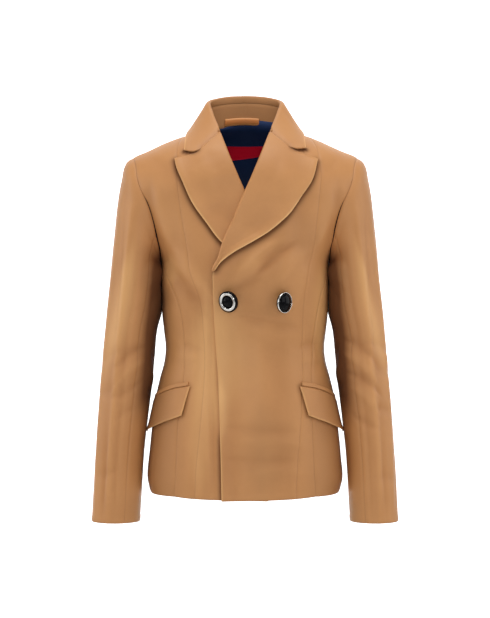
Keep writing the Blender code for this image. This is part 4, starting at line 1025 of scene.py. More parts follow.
# The same for the backs.
BACK_CREASES = [
    (152, -70, 138, -186, 11, -2.0, -6),
    (139, -84, 120, -190, 11, 1.5, -5),
    (124, -60, 108, -150, 14, -0.8, -4),
    (-153, -74, -137, -180, 11, -1.8, 6),
    (-138, -80, -121, -196, 12, 1.4, 5),
    (-120, -66, -104, -160, 14, -0.9, 4),
    (-88, -44, 84, -52, 12, -0.6, 6),
    (14, -322, 98, -352, 9, -1.5, 5),
    (10, -344, 104, -368, 9, 1.2, 4),
    (26, -366, 96, -384, 8, -1.0, 3),
    (-12, -330, -96, -346, 9, -1.4, -5),
    (-18, -352, -102, -364, 10, 1.1, -4),
    (-30, -374, -90, -392, 8, -0.9, -3),
    (62, -392, 74, -586, 18, -1.2, 6),
    (34, -400, 36, -590, 16, 0.9, -4),
    (-58, -396, -70, -588, 18, -1.1, -6),
    (-28, -410, -34, -590, 15, 0.9, 4),
    (40, -150, 96, -214, 12, -1.0, 5),
    (-44, -158, -92, -206, 12, -0.9, -5),
    (20, -500, 96, -508, 9, -0.6, 3),
    (-16, -520, -98, -514, 9, -0.6, -3),
]
# Creases of each sleeve: turn and run of each end, width, depth and bow.
SLEEVE_CREASES = {
    1: [(-40, 226, 26, 262, 8, -1.9, 5), (-42, 250, 20, 292, 8, 1.5, 5),
        (-34, 282, 34, 316, 7, -1.6, 4), (-30, 306, 22, 346, 8, 1.1, 4),
        (8, 232, 74, 250, 8, -1.1, 5), (22, 268, 84, 284, 9, -1.0, -4),
        (16, 338, 62, 352, 7, -0.9, 3), (-36, 352, 16, 372, 7, -1.0, -3),
        (18, 70, 8, 515, 8, 1.5, 5), (36, 90, 26, 505, 9, -1.3, -4),
        (60, 110, 52, 490, 11, 1.1, 5), (-12, 110, -10, 500, 7, -1.0, 3),
        (-66, 20, -14, 92, 10, -1.4, 6), (-78, 44, -22, 128, 10, 1.1, 6),
        (-84, 84, -34, 160, 9, -1.1, 5), (216, 30, 178, 104, 11, -1.9, -6),
        (214, 58, 168, 140, 11, 1.4, -5), (206, 232, 132, 262, 10, -1.7, -5),
        (208, 262, 138, 290, 10, 1.3, -5), (206, 292, 146, 322, 9, -1.4, 4),
        (120, 90, 116, 500, 13, -1.0, 5), (146, 100, 150, 480, 12, 1.0, 4),
        (-62, 236, -104, 262, 8, -1.6, 3), (-60, 270, -112, 292, 9, 1.2, 3),
        (-64, 300, -106, 322, 8, -1.3, -3), (4, 452, 60, 460, 9, -0.7, 3)],
    -1: [(-38, 238, 18, 270, 8, -1.5, 5), (-40, 262, 14, 300, 8, 1.2, 4),
         (-36, 296, 24, 322, 7, -1.2, -4), (10, 246, 70, 268, 9, -0.9, 4),
         (20, 300, 70, 318, 9, -0.8, -4), (-30, 340, 12, 356, 7, -0.8, 3),
         (22, 60, 14, 520, 8, 1.6, 5), (38, 80, 30, 510, 9, -1.4, -4),
         (2, 120, 2, 505, 6, -1.1, 3), (62, 100, 58, 495, 11, 1.1, 4),
         (-64, 22, -16, 96, 10, -1.3, 6), (-76, 50, -24, 134, 10, 1.0, 5),
         (-84, 90, -36, 166, 9, -1.0, 5), (214, 34, 176, 110, 11, -1.8, -6),
         (212, 62, 166, 150, 11, 1.3, -5), (204, 240, 136, 266, 10, -1.5, -5),
         (206, 270, 142, 296, 10, 1.2, -4), (204, 300, 150, 326, 9, -1.2, 4),
         (118, 96, 120, 500, 13, -1.0, -5), (148, 96, 146, 490, 12, 1.0, 4),
         (-64, 244, -108, 268, 8, -1.4, 3), (-62, 278, -110, 300, 9, 1.1, 3),
         (-66, 310, -104, 328, 8, -1.1, -3), (0, 440, 56, 450, 9, -0.7, -3)],
}
# Creases of the lapels: x and z of each end on either lapel, width, depth and bow.
LAPEL_CREASES = [
    (6, -158, 56, -140, 16, -0.7, 5),
    (-16, -196, 26, -176, 12, 0.6, 4),
    (60, -60, 92, -100, 20, 0.8, 6),
    (-18, -150, -56, -128, 14, -0.7, 5),
    (-52, -92, -84, -62, 18, 0.7, 6),
    (-44, -66, -60, -36, 14, -0.6, 3),
]

# Uneven surface of each part, in two ripples: height, seed, size and stretch.
FRONT_RIPPLES = ((0.75, 11, 62.0, 2.2), (0.35, 12, 48.0, 1.6))
BACK_RIPPLES = ((0.9, 13, 70.0, 2.6), (0.4, 14, 52.0, 1.6))
SLEEVE_RIPPLES = {1: ((0.8, 22, 46.0, 3.4), (0.4, 26, 60.0, 1.5)),
                  -1: ((0.8, 20, 46.0, 3.4), (0.4, 24, 60.0, 1.5))}
LAPEL_RIPPLE = (0.4, 31, 80.0, 1.4)
SMALL_RIPPLE = (0.22, 41, 34.0, 1.3)
FRONT_FADE = (-34.0, 22.0)  # between these depths the front's creases give way to the back's
SLEEVE_HELD = 34.0    # a sleeve's creases fade in within this run,
CUFF_HELD = (60.0, 0.6)  # and by this share within this run of the cuff
UNDER_BLEND = (262.0, 278.0)  # turns between which an under sleeve's own two ends blend


def body_relief(points, side, s, v):
    """Creases of the torso's panels, by x and z, at one with their neighbours at seams."""
    x, y, z = np.moveaxis(points, -1, 0)
    at_front = 1 - ease(y, *FRONT_FADE)
    front = strokes(FRONT_CREASES, x, z, DEEPER) + ripples(FRONT_RIPPLES, x, z)
    back = strokes(BACK_CREASES, x, z, DEEPER) + ripples(BACK_RIPPLES, x, z)
    return front * at_front + back * (1 - at_front)


def sleeve_relief(side, turn, run):
    """Creases of a sleeve, which fade out at the armhole and the cuff."""
    reach, less = CUFF_HELD
    held = ease(run, 0.0, SLEEVE_HELD)
    held = held * (1 - less * ease(run, SLEEVE_LENGTH - reach, SLEEVE_LENGTH))
    waves = ripples(SLEEVE_RIPPLES[side], turn, run)
    return (strokes(SLEEVE_CREASES[side], turn, run, DEEPER) + waves) * held


def top_sleeve_relief(points, side, s, v):
    """Creases of a top sleeve."""
    run = v * SLEEVE_LENGTH
    return sleeve_relief(side, top_turn(s, run), run)


def under_sleeve_relief(points, side, s, v):
    """Creases of an under sleeve, which meet those of the top sleeve at both its seams."""
    run = v * SLEEVE_LENGTH
    turn = under_turn(s, run)
    before = sleeve_relief(side, turn, run)
    after = sleeve_relief(side, turn - 360, run)
    return before + (after - before) * ease(turn, *UNDER_BLEND)


RIM_ROLL = 1.9        # how far a lapel's outer edge rolls up
RIM_SHARE = 0.12      # over this share of its width
RIM_FROM = {1: (0.02, 0.12), -1: (0.55, 0.68)}  # and from here up


def lapel_relief(points, side, s, v):
    """The soft bends of a lapel and the roll of its outer edge."""
    x, z = points[..., 0], points[..., 2]
    free = ease(v, *RIM_FROM[side])
    height, *wave = LAPEL_RIPPLE
    own = strokes(LAPEL_CREASES, x, z, DEEPER) + height * ripple(x, z, *wave)
    roll = RIM_ROLL * np.exp(-((1 - s) / RIM_SHARE) ** 2) * free
    return own + roll + strokes(FRONT_CREASES, x, z, DEEPER) * (1 - free)


COLLAR_SINK = (2.6, 7.0, 330.0)   # how far its ends sink onto the lapels, the reach, its width
COLLAR_FREE = (0.60, 0.70)        # but beyond here they are free


def collar_relief(points, side, s, v):
    """The collar's unevenness, and its ends that sink to the lapels where they are sewn."""
    depth, reach, width = COLLAR_SINK
    sunk = depth * np.exp(-(np.minimum(s, 1 - s) * width / reach) ** 2)
    return small_relief(points, side, s, v) - sunk * (1 - ease(v, *COLLAR_FREE))


def small_relief(points, side, s, v):
    """A little unevenness, for the small pieces."""
    height, *wave = SMALL_RIPPLE
    return height * ripple(points[..., 0], points[..., 2], *wave)


def no_relief(points, side, s, v):
    """For what is stretched smooth."""
    return np.zeros_like(s)


def nearness(points, others, reach):
    """1 on some other points and less with the distance from them, for a grid of points."""
    grid = points.reshape(-1, 3)
    others = others.reshape(-1, 3)
    gaps = ((grid ** 2).sum(1)[:, None] + (others ** 2).sum(1) - 2 * grid @ others.T).min(1)
    return np.exp(-np.maximum(gaps, 0) / reach ** 2).reshape(points.shape[:-1])


def painted_shade_near(points, shade_setting, place, side, s_line, v_line):
    """Painted shade on some points near another piece, at shares across and up that piece."""
    reach, strength = shade_setting
    s, v = np.meshgrid(s_line, v_line)
    return strength * nearness(points, place(side, s, v) * np.array([side, 1, 1]), reach)


LINE = np.linspace(0, 1, 240)
LAP_LINE = np.linspace(0, 0.66, 240)
NOTCH_LINE = np.linspace(0.68, 1, 40)
COLLAR_ENDS = {1: (1,), -1: (0,)}
FEW = np.linspace(0, 1, 8)

# Painted shade and shadows: how far from the other piece each reaches, and how strong it is.
LAPEL_SHADOW = (6.5, 1.3)    # painted shadow under the lapels' edges
FLAP_SHADOW = (5.0, 0.6)     # painted shadow under the flaps' edges
LAP_SHADOW = (5.0, 1.1)      # painted shadow under the left front's edge
NOTCH_SHADOW = (5.2, 2.0)    # painted shadow in the lapels' notches
ARM_SHADE = {1: (8.0, 0.6), -1: (25.0, 0.8)}  # painted shade on the body, by either arm
ARM_SHADE_HIGH = (-275.0, -235.0)   # which fades between these heights
BODY_SHADE = (32.0, 1.0)    # painted shade on the sleeves, by the body
BODY_SHADE_LOW = (-470.0, -330.0)   # which fades between these heights below
BODY_SHADE_HIGH = (-240.0, -170.0)  # and these above
INNER_SHADE = (22.0, 0.8)   # painted shade on the sleeves, around their inner sides
INNER_TURNS = (235.0, 306.0)       # which lie between these turns
INNER_SHADE_LOW = (-495.0, -425.0)  # and where it fades below
STAND_SHADE = 0.26          # how dark the painted shade inside the neck is
# shares of the collar's height over which its painted shade fades out of the fold
INSIDE_FOLD = (0.14, 0.24)
HIP_SHADE = 0.30            # how dark the painted shade on the body's sides is, from between these widths
HIP_WIDTH = (85.0, 150.0)
HIP_HEIGHT = (-470.0, -330.0)
# the darkest that painted shade may be
PAINTED_SHADE_MOST = 0.85
# Painted highlights of the fronts, and below zero painted shade: x and z of each end, width,
# how much and bow.
FRONT_PAINTED_LIGHT = [
    (-52, -460, -52, -272, 34, 0.9, 0),
    (30, -585, 30, -450, 32, -0.2, 0),
    (75, -125, 105, -200, 28, -0.15, 0),
    (-76, -585, -76, -415, 12, 0.5, 0),
    (-40, -500, -40, -410, 7, 0.6, 0),
    (124, -375, 124, -225, 12, 0.7, 0),
    (-124, -248, -122, -205, 10, 0.6, 0),
]
# Painted highlight streaks down the front of each sleeve, by the distance from the middle and
# height.
SLEEVE_HIGHLIGHTS = {1: [(184, -192, 229, -378, 8, 0.8, 0)],
                -1: [(186, -196, 229, -378, 13, 0.9, 0)]}
SLEEVE_FADE = (-25.0, 5.0)  # depths between which they fade
FLAP_SHADE = {1: 0.2, -1: 0.35}  # how dark the painted shade at the flaps' outer ends is, from between these widths
FLAP_SHADE_WIDTH = (100.0, 145.0)


def body_painted_light(points, side, v):
    """Painted shade on the body's panels at the sides, by the arms and under the edges that lie on
    them; the fronts' painted highlights come out below zero.
    """
    x, y, z = np.moveaxis(points, -1, 0)
    worn = HIP_SHADE * ease(np.abs(x), *HIP_WIDTH) * (1 - ease(z, *HIP_HEIGHT))
    arm = painted_shade_near(points, ARM_SHADE[side], under_sleeve, side, FEW, LINE)
    worn = np.maximum(worn, arm * (1 - ease(z, *ARM_SHADE_HIGH)))
    edges = [(LAPEL_SHADOW, lapel, side, (1,), LINE), (FLAP_SHADOW, flap, side, LINE, (0,)),
             (FLAP_SHADOW, flap, side, (0, 1), LINE),
             (NOTCH_SHADOW, collar, 1, COLLAR_ENDS[side], NOTCH_LINE)]
    if side < 0:
        edges += [(LAPEL_SHADOW, lapel, 1, (1,), LINE),
                  (LAP_SHADOW, front_panel, 1, (0,), LAP_LINE)]
    for edge in edges:
        worn = np.maximum(worn, painted_shade_near(points, *edge))
    return np.minimum(worn - strokes(FRONT_PAINTED_LIGHT, x, z) * (1 - ease(y, *FRONT_FADE)), PAINTED_SHADE_MOST)


def inner_side(side, s, v):
    """Points of the sleeve's inner side, which lies against the body."""
    return sleeve_point(INNER_TURNS[0] + (INNER_TURNS[1] - INNER_TURNS[0]) * s, v * SLEEVE_LENGTH)


def sleeve_painted_light(points, side, v):
    """Painted shade on a sleeve by the body and on its inner side; the painted highlight streaks
    down its front come out below zero.
    """
    x, y, z = np.moveaxis(points, -1, 0)
    worn = np.zeros_like(x)
    for place in (side_panel, side_front, back_panel):
        worn = np.maximum(worn, painted_shade_near(points, BODY_SHADE, place, side, FEW, LINE))
    inner = painted_shade_near(points, INNER_SHADE, inner_side, side, FEW, LINE)
    worn = worn * ease(z, *BODY_SHADE_LOW) + inner * ease(z, *INNER_SHADE_LOW)
    worn = worn * (1 - ease(z, *BODY_SHADE_HIGH))
    # tones: the painted highlight streaks
    tones = strokes(SLEEVE_HIGHLIGHTS[side], np.abs(x), z)
    return np.minimum(worn - tones * (1 - ease(y, *SLEEVE_FADE)), PAINTED_SHADE_MOST)


def flap_painted_shade(points, side, v):
    """Painted shade at a flap's outer end."""
    return FLAP_SHADE[side] * ease(np.abs(points[..., 0]), *FLAP_SHADE_WIDTH)


def stand_painted_shade(points, side, v):
    """Painted shade: the stand is a little darker all over."""
    return np.full(v.shape, STAND_SHADE)


def collar_painted_shade(points, side, v):
    """Painted shade: the collar is as dark inside its fold."""
    return STAND_SHADE * (1 - ease(v, *INSIDE_FOLD))


def lapel_painted_shade(points, side, v):
    """Painted shadow on a lapel in its notch, under the collar's end."""
    worn = painted_shade_near(points, NOTCH_SHADOW, collar, 1, COLLAR_ENDS[side], NOTCH_LINE)
    return np.minimum(worn, PAINTED_SHADE_MOST)


class Sheet(NamedTuple):
    """A kind of cloth piece: its surface, its grid and borders, and how it was cut."""

    place: Callable      # its surface, by side and by shares across and up
    faces: tuple         # columns and rows of its grid
    size: tuple          # its width and length
    borders: tuple       # the kinds of its left, right, bottom and top border
    relief: Callable     # its creases
    facing: int          # 1 if its grid's normals point outwards on the wearer's left
    cut: tuple           # flat width and length of what shows, in metres,
    area: float          # and its area in square metres
    held: str = "stretched"
    looks: tuple = ("leather", "lining")  # outside, and inside if that differs
    slot: str = "leather"
    wall: float = WALL
    # worn gives the piece's painted shade, and below zero its painted highlights
    worn: Callable = None


SEAMED = ("seam", "seam", "hem", "seam")
SET_IN = ("seam", "seam", "armhole", "hem")
PLAIN = ("", "", "", "")
ONE_LOOK = ("leather",)

SHEETS = {
    "front": Sheet(
        front_panel, (58, 150), (150, 640), ("edge", "seam", "hem", "seam"), body_relief, 1,
        (0.20, 0.65), 0.080, worn=body_painted_light),
    "side_front": Sheet(
        side_front, (30, 150), (50, 640), SEAMED, body_relief, 1,
        (0.12, 0.65), 0.031, worn=body_painted_light),
    "side_panel": Sheet(
        side_panel, (46, 104), (130, 390), SEAMED, body_relief, 1,
        (0.18, 0.42), 0.060, worn=body_painted_light),
    "back": Sheet(
        back_panel, (54, 150), (150, 640), SEAMED, body_relief, -1,
        (0.20, 0.66), 0.099, worn=body_painted_light),
    "sleeve_top": Sheet(
        top_sleeve, (84, 140), (210, 560), SET_IN, top_sleeve_relief, -1,
        (0.28, 0.62), 0.118, worn=sleeve_painted_light),
    "sleeve_under": Sheet(
        under_sleeve, (44, 140), (110, 450), SET_IN, under_sleeve_relief, -1,
        (0.17, 0.50), 0.056, worn=sleeve_painted_light),
    "lapel": Sheet(
        lapel, (64, 80), (110, 240), ("", "rim", "", ""), lapel_relief, 1,
        (0.17, 0.27), 0.019, "folded", ONE_LOOK, worn=lapel_painted_shade),
    "collar": Sheet(
        collar, (130, 40), (330, 75), ("", "", "seam", "edge"), collar_relief, 1,
        (0.42, 0.10), 0.032, "folded", ONE_LOOK, worn=collar_painted_shade),
    "collar_stand": Sheet(
        collar_stand, (110, 14), (260, 28), ("", "", "seam", "seam"), small_relief, 1,
        (0.28, 0.045), 0.010, looks=ONE_LOOK, worn=stand_painted_shade),
    "pocket_flap": Sheet(
        flap, (46, 22), (120, 50), ("edge", "edge", "edge", ""), small_relief, 1,
        (0.14, 0.07), 0.0063, "hung", ONE_LOOK, worn=flap_painted_shade),
    "pocket_welt": Sheet(
        welt, (40, 6), (105, 8), PLAIN, small_relief, 1,
        (0.11, 0.015), 0.00066, looks=ONE_LOOK, wall=WELT_WALL),
    "back_lining": Sheet(
        lapped_lining, (70, 100), (300, 560), PLAIN, small_relief, -1,
        (0.36, 0.57), 0.141, "hung", ("lining",), "lining", LINING_WALL),
    "hanger_loop": Sheet(
        hanger_loop, (40, 8), (60, 7), ("", "", "edge", "edge"), no_relief, 1,
        (0.062, 0.014), 0.00076, "hung", ("loop",), "loop_leather", LOOP_WALL),
}


def add(name, data):
    """A new object in the scene."""
    made = bpy.data.objects.new(name, data)
    bpy.context.scene.collection.objects.link(made)
    return made


def smooth_mesh(name, builder):
    """The mesh that a builder holds, shaded smooth."""
    for face in builder.faces:
        face.smooth = True
    mesh = bpy.data.meshes.new(name)
    builder.to_mesh(mesh)
    builder.free()
    return mesh


def grid_mesh(name, columns, rows, flip):
    """A grid's mesh, and the index of its vertex at each place of a table of points."""
    builder = bmesh.new()
    bmesh.ops.create_grid(builder, x_segments=columns - 1, y_segments=rows - 1, size=0.5)
    builder.verts.index_update()
    order = sorted(builder.verts, key=lambda vert: (round(vert.co.y, 6), vert.co.x))
    place_in = np.array([vert.index for vert in order])
    if flip:
        bmesh.ops.reverse_faces(builder, faces=builder.faces)
    return smooth_mesh(name, builder), place_in


def bordered(creases, borders, distances, v):
    """How far a creased piece is lifted with its borders, how dark its seam lines are, and the
    painted highlight along its finished edges.
    """
    lift = creases.copy()
    seam = np.zeros_like(v)
    edge = np.zeros_like(v)
    for kind, distance in zip(borders, distances):
        if kind in SEAM_KINDS:
            deep, dark = SEAM_KINDS[kind]
            lift -= deep * np.exp(-(distance / SEAM_REACH) ** 2)
            seam = np.maximum(seam, dark * np.exp(-(distance / SEAM_LINE) ** 2))
        if kind in EDGE_KINDS:
            paler = EDGE_KINDS[kind]
            if kind == "hem":
                seam = np.maximum(seam, HEM_DARK * np.exp(-(distance / EDGE_REACH) ** 2))
            if kind == "rim":
                paler = paler * (1 - RIM_LESS * ease(v, *RIM_FADE))
            band = 1 - ease(distance, TURNING + TURNING_SOFT[0], TURNING + TURNING_SOFT[1])
            lift += TURNING_RISE * band - EDGE_DROP * np.exp(-(distance / EDGE_REACH) ** 2)
            edge = np.maximum(edge, paler * np.exp(-(distance / EDGE_HIGHLIGHT_REACH) ** 2))
    return lift, seam, edge


def cloth(name, sheet, side):
    """One piece of cloth on its surface, with its creases, seams and turned edges."""
    left, right, bottom, top = (bool(kind) for kind in sheet.borders)
    s_line = shares(sheet.faces[0], sheet.size[0], left, right)
    v_line = shares(sheet.faces[1], sheet.size[1], bottom, top)
    s, v = np.meshgrid(s_line, v_line)
    points = sheet.place(side, s, v) * np.array([side, 1, 1])
    outward = sheet.facing * side
    across = run_lengths(points, 1)
    up = run_lengths(points, 0)
    distances = (across, across[:, -1:] - across, up, up[-1:] - up)
    creases = sheet.relief(points, side, s, v)
    creases = creases * bpy.context.scene.jacket_settings.crease_scale
    lift, seam, edge = bordered(creases, sheet.borders, distances, v)
    # worn holds painted shade and shadow, and below zero painted highlights, which join the edges'
    # painted highlight
    worn = sheet.worn(points, side, v) if sheet.worn else np.zeros_like(s)
    edge = np.maximum(edge, -worn)
    worn = np.maximum(worn, 0)
    points = points + grid_normals(points) * outward * lift[..., None]

    mesh, place_in = grid_mesh(name, len(s_line), len(v_line), outward < 0)

    def in_order(values):
        flat = values.reshape(len(place_in), -1)
        kept = np.zeros_like(flat)
        kept[place_in] = flat
        return kept

    mesh.vertices.foreach_set("co", in_order(points * MM).ravel())
    # the attributes hold crease depth, dark seam lines, painted highlights (edge) and painted shade
    # (worn)
    for key, values in (("crease", creases), ("seam", seam), ("edge", edge), ("worn", worn)):
        attribute = mesh.attributes.new(key, "FLOAT", "POINT")
        attribute.data.foreach_set("value", in_order(values).ravel().astype(np.float32))
    measure = in_order(np.stack([across, up], axis=-1) * MM)
    corners = np.zeros(len(mesh.loops), dtype=np.int32)
    mesh.loops.foreach_get("vertex_index", corners)
    mesh.uv_layers.new(name="cloth").data.foreach_set("uv", measure[corners].ravel())
    mesh.update()
    look = looks()
    for key in sheet.looks:
        mesh.materials.append(look[key])
    piece = add(name, mesh)
    thickness = piece.modifiers.new("Thickness", "SOLIDIFY")
    thickness.thickness = sheet.wall * MM
    thickness.offset = 0.0
    if len(sheet.looks) > 1:
        thickness.material_offset = 1
    return piece


def make(kind, side, name, node):
    """Makes a piece with its materials, puts it under the root and hides the solid that it stands
    for.
    """
    sheet = SHEETS[kind]
    piece = cloth(name, sheet, side)
    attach(piece, "root")
    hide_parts(node)


def make_pairs(*kinds):
    """Makes the left piece of each kind, and then the right ones."""
    for side, word in ((1, "left"), (-1, "right")):
        for kind in kinds:
            make(kind, side, f"{kind}_{word}_leather", f"{kind}_{word}")


# --- Looks -----------------------------------------------------------------------------

def shader(name, colour, roughness, metallic=0.0):
    """A new material, its node tree and its Principled shader."""
    look = bpy.data.materials.new(name)
    look.use_nodes = True
    tree = look.node_tree
    main = tree.nodes["Principled BSDF"]
    main.inputs["Base Color"].default_value = (*colour, 1)
    main.inputs["Roughness"].default_value = roughness
    main.inputs["Metallic"].default_value = metallic
    return look, tree, main


def feed(tree, value, socket):
    """Gives a socket a colour, a number or another socket's value."""
    if isinstance(value, bpy.types.NodeSocket):
        tree.links.new(value, socket)
    elif isinstance(value, tuple):
        socket.default_value = (*value, 1)
    else:
        socket.default_value = value


def maths(tree, operation, *values, clamp=False):
    """A Math node between sockets or numbers."""
    made = tree.nodes.new("ShaderNodeMath")
    made.operation = operation
    made.use_clamp = clamp
    for value, socket in zip(values, made.inputs):
        feed(tree, value, socket)
    return made.outputs[0]


def blend(tree, share, first, second):
    """A mix of two colours, each a socket or three numbers, by a share."""
    made = tree.nodes.new("ShaderNodeMix")
    made.data_type = "RGBA"
    inputs = [socket for socket in made.inputs if socket.enabled]
    for value, socket in zip((share, first, second), inputs):
        feed(tree, value, socket)
    return [socket for socket in made.outputs if socket.enabled][0]


def pattern(tree, kind, values, output="Fac"):
    """A texture on the object's coordinates; values go to its inputs by name."""
    made = tree.nodes.new("ShaderNodeTex" + kind)
    place = tree.nodes.new("ShaderNodeTexCoord")
    tree.links.new(place.outputs["Object"], made.inputs["Vector"])
    for key, value in values.items():
        made.inputs[key].default_value = value
    return made.outputs[output]


def bumped(tree, main, height, strength, distance):
    """Gives the shader a bump from a height."""
    bump = tree.nodes.new("ShaderNodeBump")
    bump.inputs["Strength"].default_value = strength
    bump.inputs["Distance"].default_value = distance
    tree.links.new(height, bump.inputs["Height"])
    tree.links.new(bump.outputs["Normal"], main.inputs["Normal"])


def attribute(tree, name):
    """The value of a vertex attribute."""
    made = tree.nodes.new("ShaderNodeAttribute")
    made.attribute_name = name
    return made.outputs["Fac"]


def leather_look(name, pale, deep, roughness):
    """Smooth grained leather, mottled, with painted highlights on edges, ridges and pale places,
    and painted shade in troughs, under edges and where parts meet.
    """
    tree, main = shader(name, pale, roughness)[1:]
    flecks = pattern(tree, "Noise", FLECKS)
    tone = maths(tree, "MULTIPLY_ADD", pattern(tree, "Noise", MOTTLE), *MOTTLE_TINT)
    tone = maths(tree, "ADD", tone, maths(tree, "MULTIPLY", flecks, FLECK_TINT))
    # painted shade in troughs and painted highlight on ridges, by the crease's depth
    crease = maths(tree, "MULTIPLY", attribute(tree, "crease"), CREASE_SHADING)
    base = blend(tree, maths(tree, "ADD", tone, crease, clamp=True), deep, pale)
    # painted highlight along finished edges, partly paler rubbed leather, and on pale places
    edge = maths(tree, "MULTIPLY", attribute(tree, "edge"), HIGHLIGHT_TINT, clamp=True)
    base = blend(tree, edge, base, HIGHLIGHT_COLOUR)
    seam = maths(tree, "MULTIPLY", attribute(tree, "seam"), SEAM_TINT, clamp=True)
    base = blend(tree, seam, base, SEAM_COLOUR)
    # painted shade and shadows where the worn attribute is set, also rougher there
    worn = attribute(tree, "worn")
    tree.links.new(blend(tree, worn, base, PAINTED_SHADE_COLOUR), main.inputs["Base Color"])
    rough = maths(tree, "MULTIPLY_ADD", flecks, FLECK_ROUGH, roughness - FLECK_ROUGH / 2)
    rough = maths(tree, "ADD", rough, maths(tree, "MULTIPLY", worn, PAINTED_SHADE_ROUGH))
    tree.links.new(rough, main.inputs["Roughness"])
    pores = maths(tree, "MULTIPLY", pattern(tree, "Voronoi", PORES, "Distance"), PORE_DEPTH)
    grain = maths(tree, "MULTIPLY", pattern(tree, "Noise", GRAIN), GRAIN_DEPTH)
    bumped(tree, main, maths(tree, "ADD", pores, grain), *LEATHER_BUMP)
    main.inputs["Specular IOR Level"].default_value = LEATHER_SHINE


def lining_look():
    """Dark satin with one woven band across the shoulders."""
    tree, main = shader("navy_lining", LINING_COLOUR, LINING_ROUGH)[1:]
    main.inputs["Specular IOR Level"].default_value = LINING_SHINE
    place = tree.nodes.new("ShaderNodeTexCoord").outputs["Object"]
    parts = tree.nodes.new("ShaderNodeSeparateXYZ")
    tree.links.new(place, parts.inputs[0])
    low = maths(tree, "MULTIPLY_ADD", parts.outputs["X"], BAND_SLOPE, BAND_LOW * MM)
    over = maths(tree, "GREATER_THAN", parts.outputs["Z"], low)
    under = maths(tree, "LESS_THAN", parts.outputs["Z"], BAND_HIGH * MM)
    behind = maths(tree, "GREATER_THAN", parts.outputs["Y"], 0.0)
    band = maths(tree, "MULTIPLY", maths(tree, "MULTIPLY", over, under), behind)
    weave = pattern(tree, "Wave", WEAVE)
    threads = maths(tree, "MULTIPLY", weave, WEAVE_TINT)
    navy = blend(tree, threads, LINING_COLOUR, LINING_PALE)
    red = blend(tree, threads, BAND_COLOUR, BAND_PALE)
    tree.links.new(blend(tree, band, navy, red), main.inputs["Base Color"])
    bumped(tree, main, weave, *WEAVE_BUMP)


def button_looks():
    """Gloss black with a little dust, and polished metal with fine turning marks."""
    tree, main = shader("button_black_gloss", BUTTON_COLOUR, BUTTON_ROUGH)[1:]
    rough = maths(tree, "MULTIPLY_ADD", pattern(tree, "Noise", DUST), *DUST_ROUGH)
    tree.links.new(rough, main.inputs["Roughness"])
    main.inputs["Specular IOR Level"].default_value = BUTTON_SHINE
    tree, main = shader("button_metal_polished", METAL_COLOUR, METAL_ROUGH, 1.0)[1:]
    marks = pattern(tree, "Noise", MARKS)
    rough = maths(tree, "MULTIPLY_ADD", marks, *MARK_ROUGH)
    tree.links.new(rough, main.inputs["Roughness"])
    bumped(tree, main, marks, *MARK_BUMP)


# --- Buttons and studio ---------------------------------------------------------------

def turned(name, profile, look, closed, matrix):
    """A turned piece from its profile, which runs from top to bottom on +X."""
    builder = bmesh.new()
    vertices = [builder.verts.new((r * MM, 0, z * MM)) for r, z in profile]
    edges = [builder.edges.new(pair) for pair in zip(vertices, vertices[1:])]
    if closed:
        edges.append(builder.edges.new((vertices[-1], vertices[0])))
    bmesh.ops.spin(builder, geom=vertices + edges, cent=(0, 0, 0), axis=(0, 0, 1),
                   angle=2 * math.pi, steps=BUTTON_STEPS, use_merge=True)
    bmesh.ops.remove_doubles(builder, verts=builder.verts, dist=MERGE)
    bmesh.ops.recalc_face_normals(builder, faces=builder.faces)
    bmesh.ops.transform(builder, matrix=matrix, verts=builder.verts)
    mesh = smooth_mesh(name, builder)
    mesh.materials.append(look)
    return add(name, mesh)


def button_place(name):
    """Where a button's back is and the way its face looks, and how far it stands off."""
    x, z, face_turn, face_lift, clear = BUTTONS[name]
    girth, height = front_place(np.array([x]), np.array([z]))
    lift = lap_lift(np.array([x]), np.array([z])) + WALL / 2
    foot = skin(girth, height, lift)[0]
    normal = Vector(skin(girth, height, lift + 1.0)[0] - foot).normalized()
    tilt = (Matrix.Rotation(math.radians(face_turn), 3, "Z")
            @ Matrix.Rotation(math.radians(-face_lift), 3, "X"))
    face = (tilt @ normal).normalized()
    stand_off = clear + BUTTON_RADIUS * math.sin(face.angle(normal)) * BUTTON_TILT
    turn = face.to_track_quat("Z", "Y").to_matrix().to_4x4()
    place = Vector(foot) + normal * stand_off
    return Matrix.Translation(place * MM) @ turn, stand_off


def arc(centre_r, centre_z, radius_r, radius_z, start, end, steps):
    """Points of an arc of a profile, angles in degrees from the +r axis."""
    angles = [math.radians(start + (end - start) * i / steps) for i in range(steps + 1)]
    return [(centre_r + radius_r * math.cos(angle), centre_z + radius_z * math.sin(angle))
            for angle in angles]


def light(name, place, size, power):
    """A soft rectangular light that looks at the jacket."""
    data = bpy.data.lights.new(name, "AREA")
    data.shape = "RECTANGLE"
    data.size, data.size_y = size
    data.energy = power
    lamp = add(name, data)
    lamp.location = place
    lamp.rotation_euler = (Vector(LAMP_TARGET) - Vector(place)).to_track_quat("-Z", "Y").to_euler()


def sweep():
    """The studio's floor and wall in one sheet, whose middle strip of wall is marked as lit."""
    builder = bmesh.new()
    bends = [math.radians(angle) for angle in range(0, 90 + SWEEP_STEP, SWEEP_STEP)]
    path = [(FLOOR_FRONT, FLOOR)]
    path += [(WALL_BACK - SWEEP + SWEEP * math.sin(bend), FLOOR + SWEEP - SWEEP * math.cos(bend))
             for bend in bends]
    path += [(WALL_BACK, WALL_TOP)]
    rows = [[builder.verts.new((x, y, z)) for y, z in path] for x in STUDIO_WIDTHS]
    for low, high in zip(rows, rows[1:]):
        for a, b, c, d in zip(low, high, high[1:], low[1:]):
            face = builder.faces.new((a, b, c, d))
            face.material_index = int(low is rows[1] and a.co.y >= WALL_BACK - SWEEP)
    return add("studio_sweep", smooth_mesh("studio_sweep", builder))


# --- Add-on ---------------------------------------------------------------------------

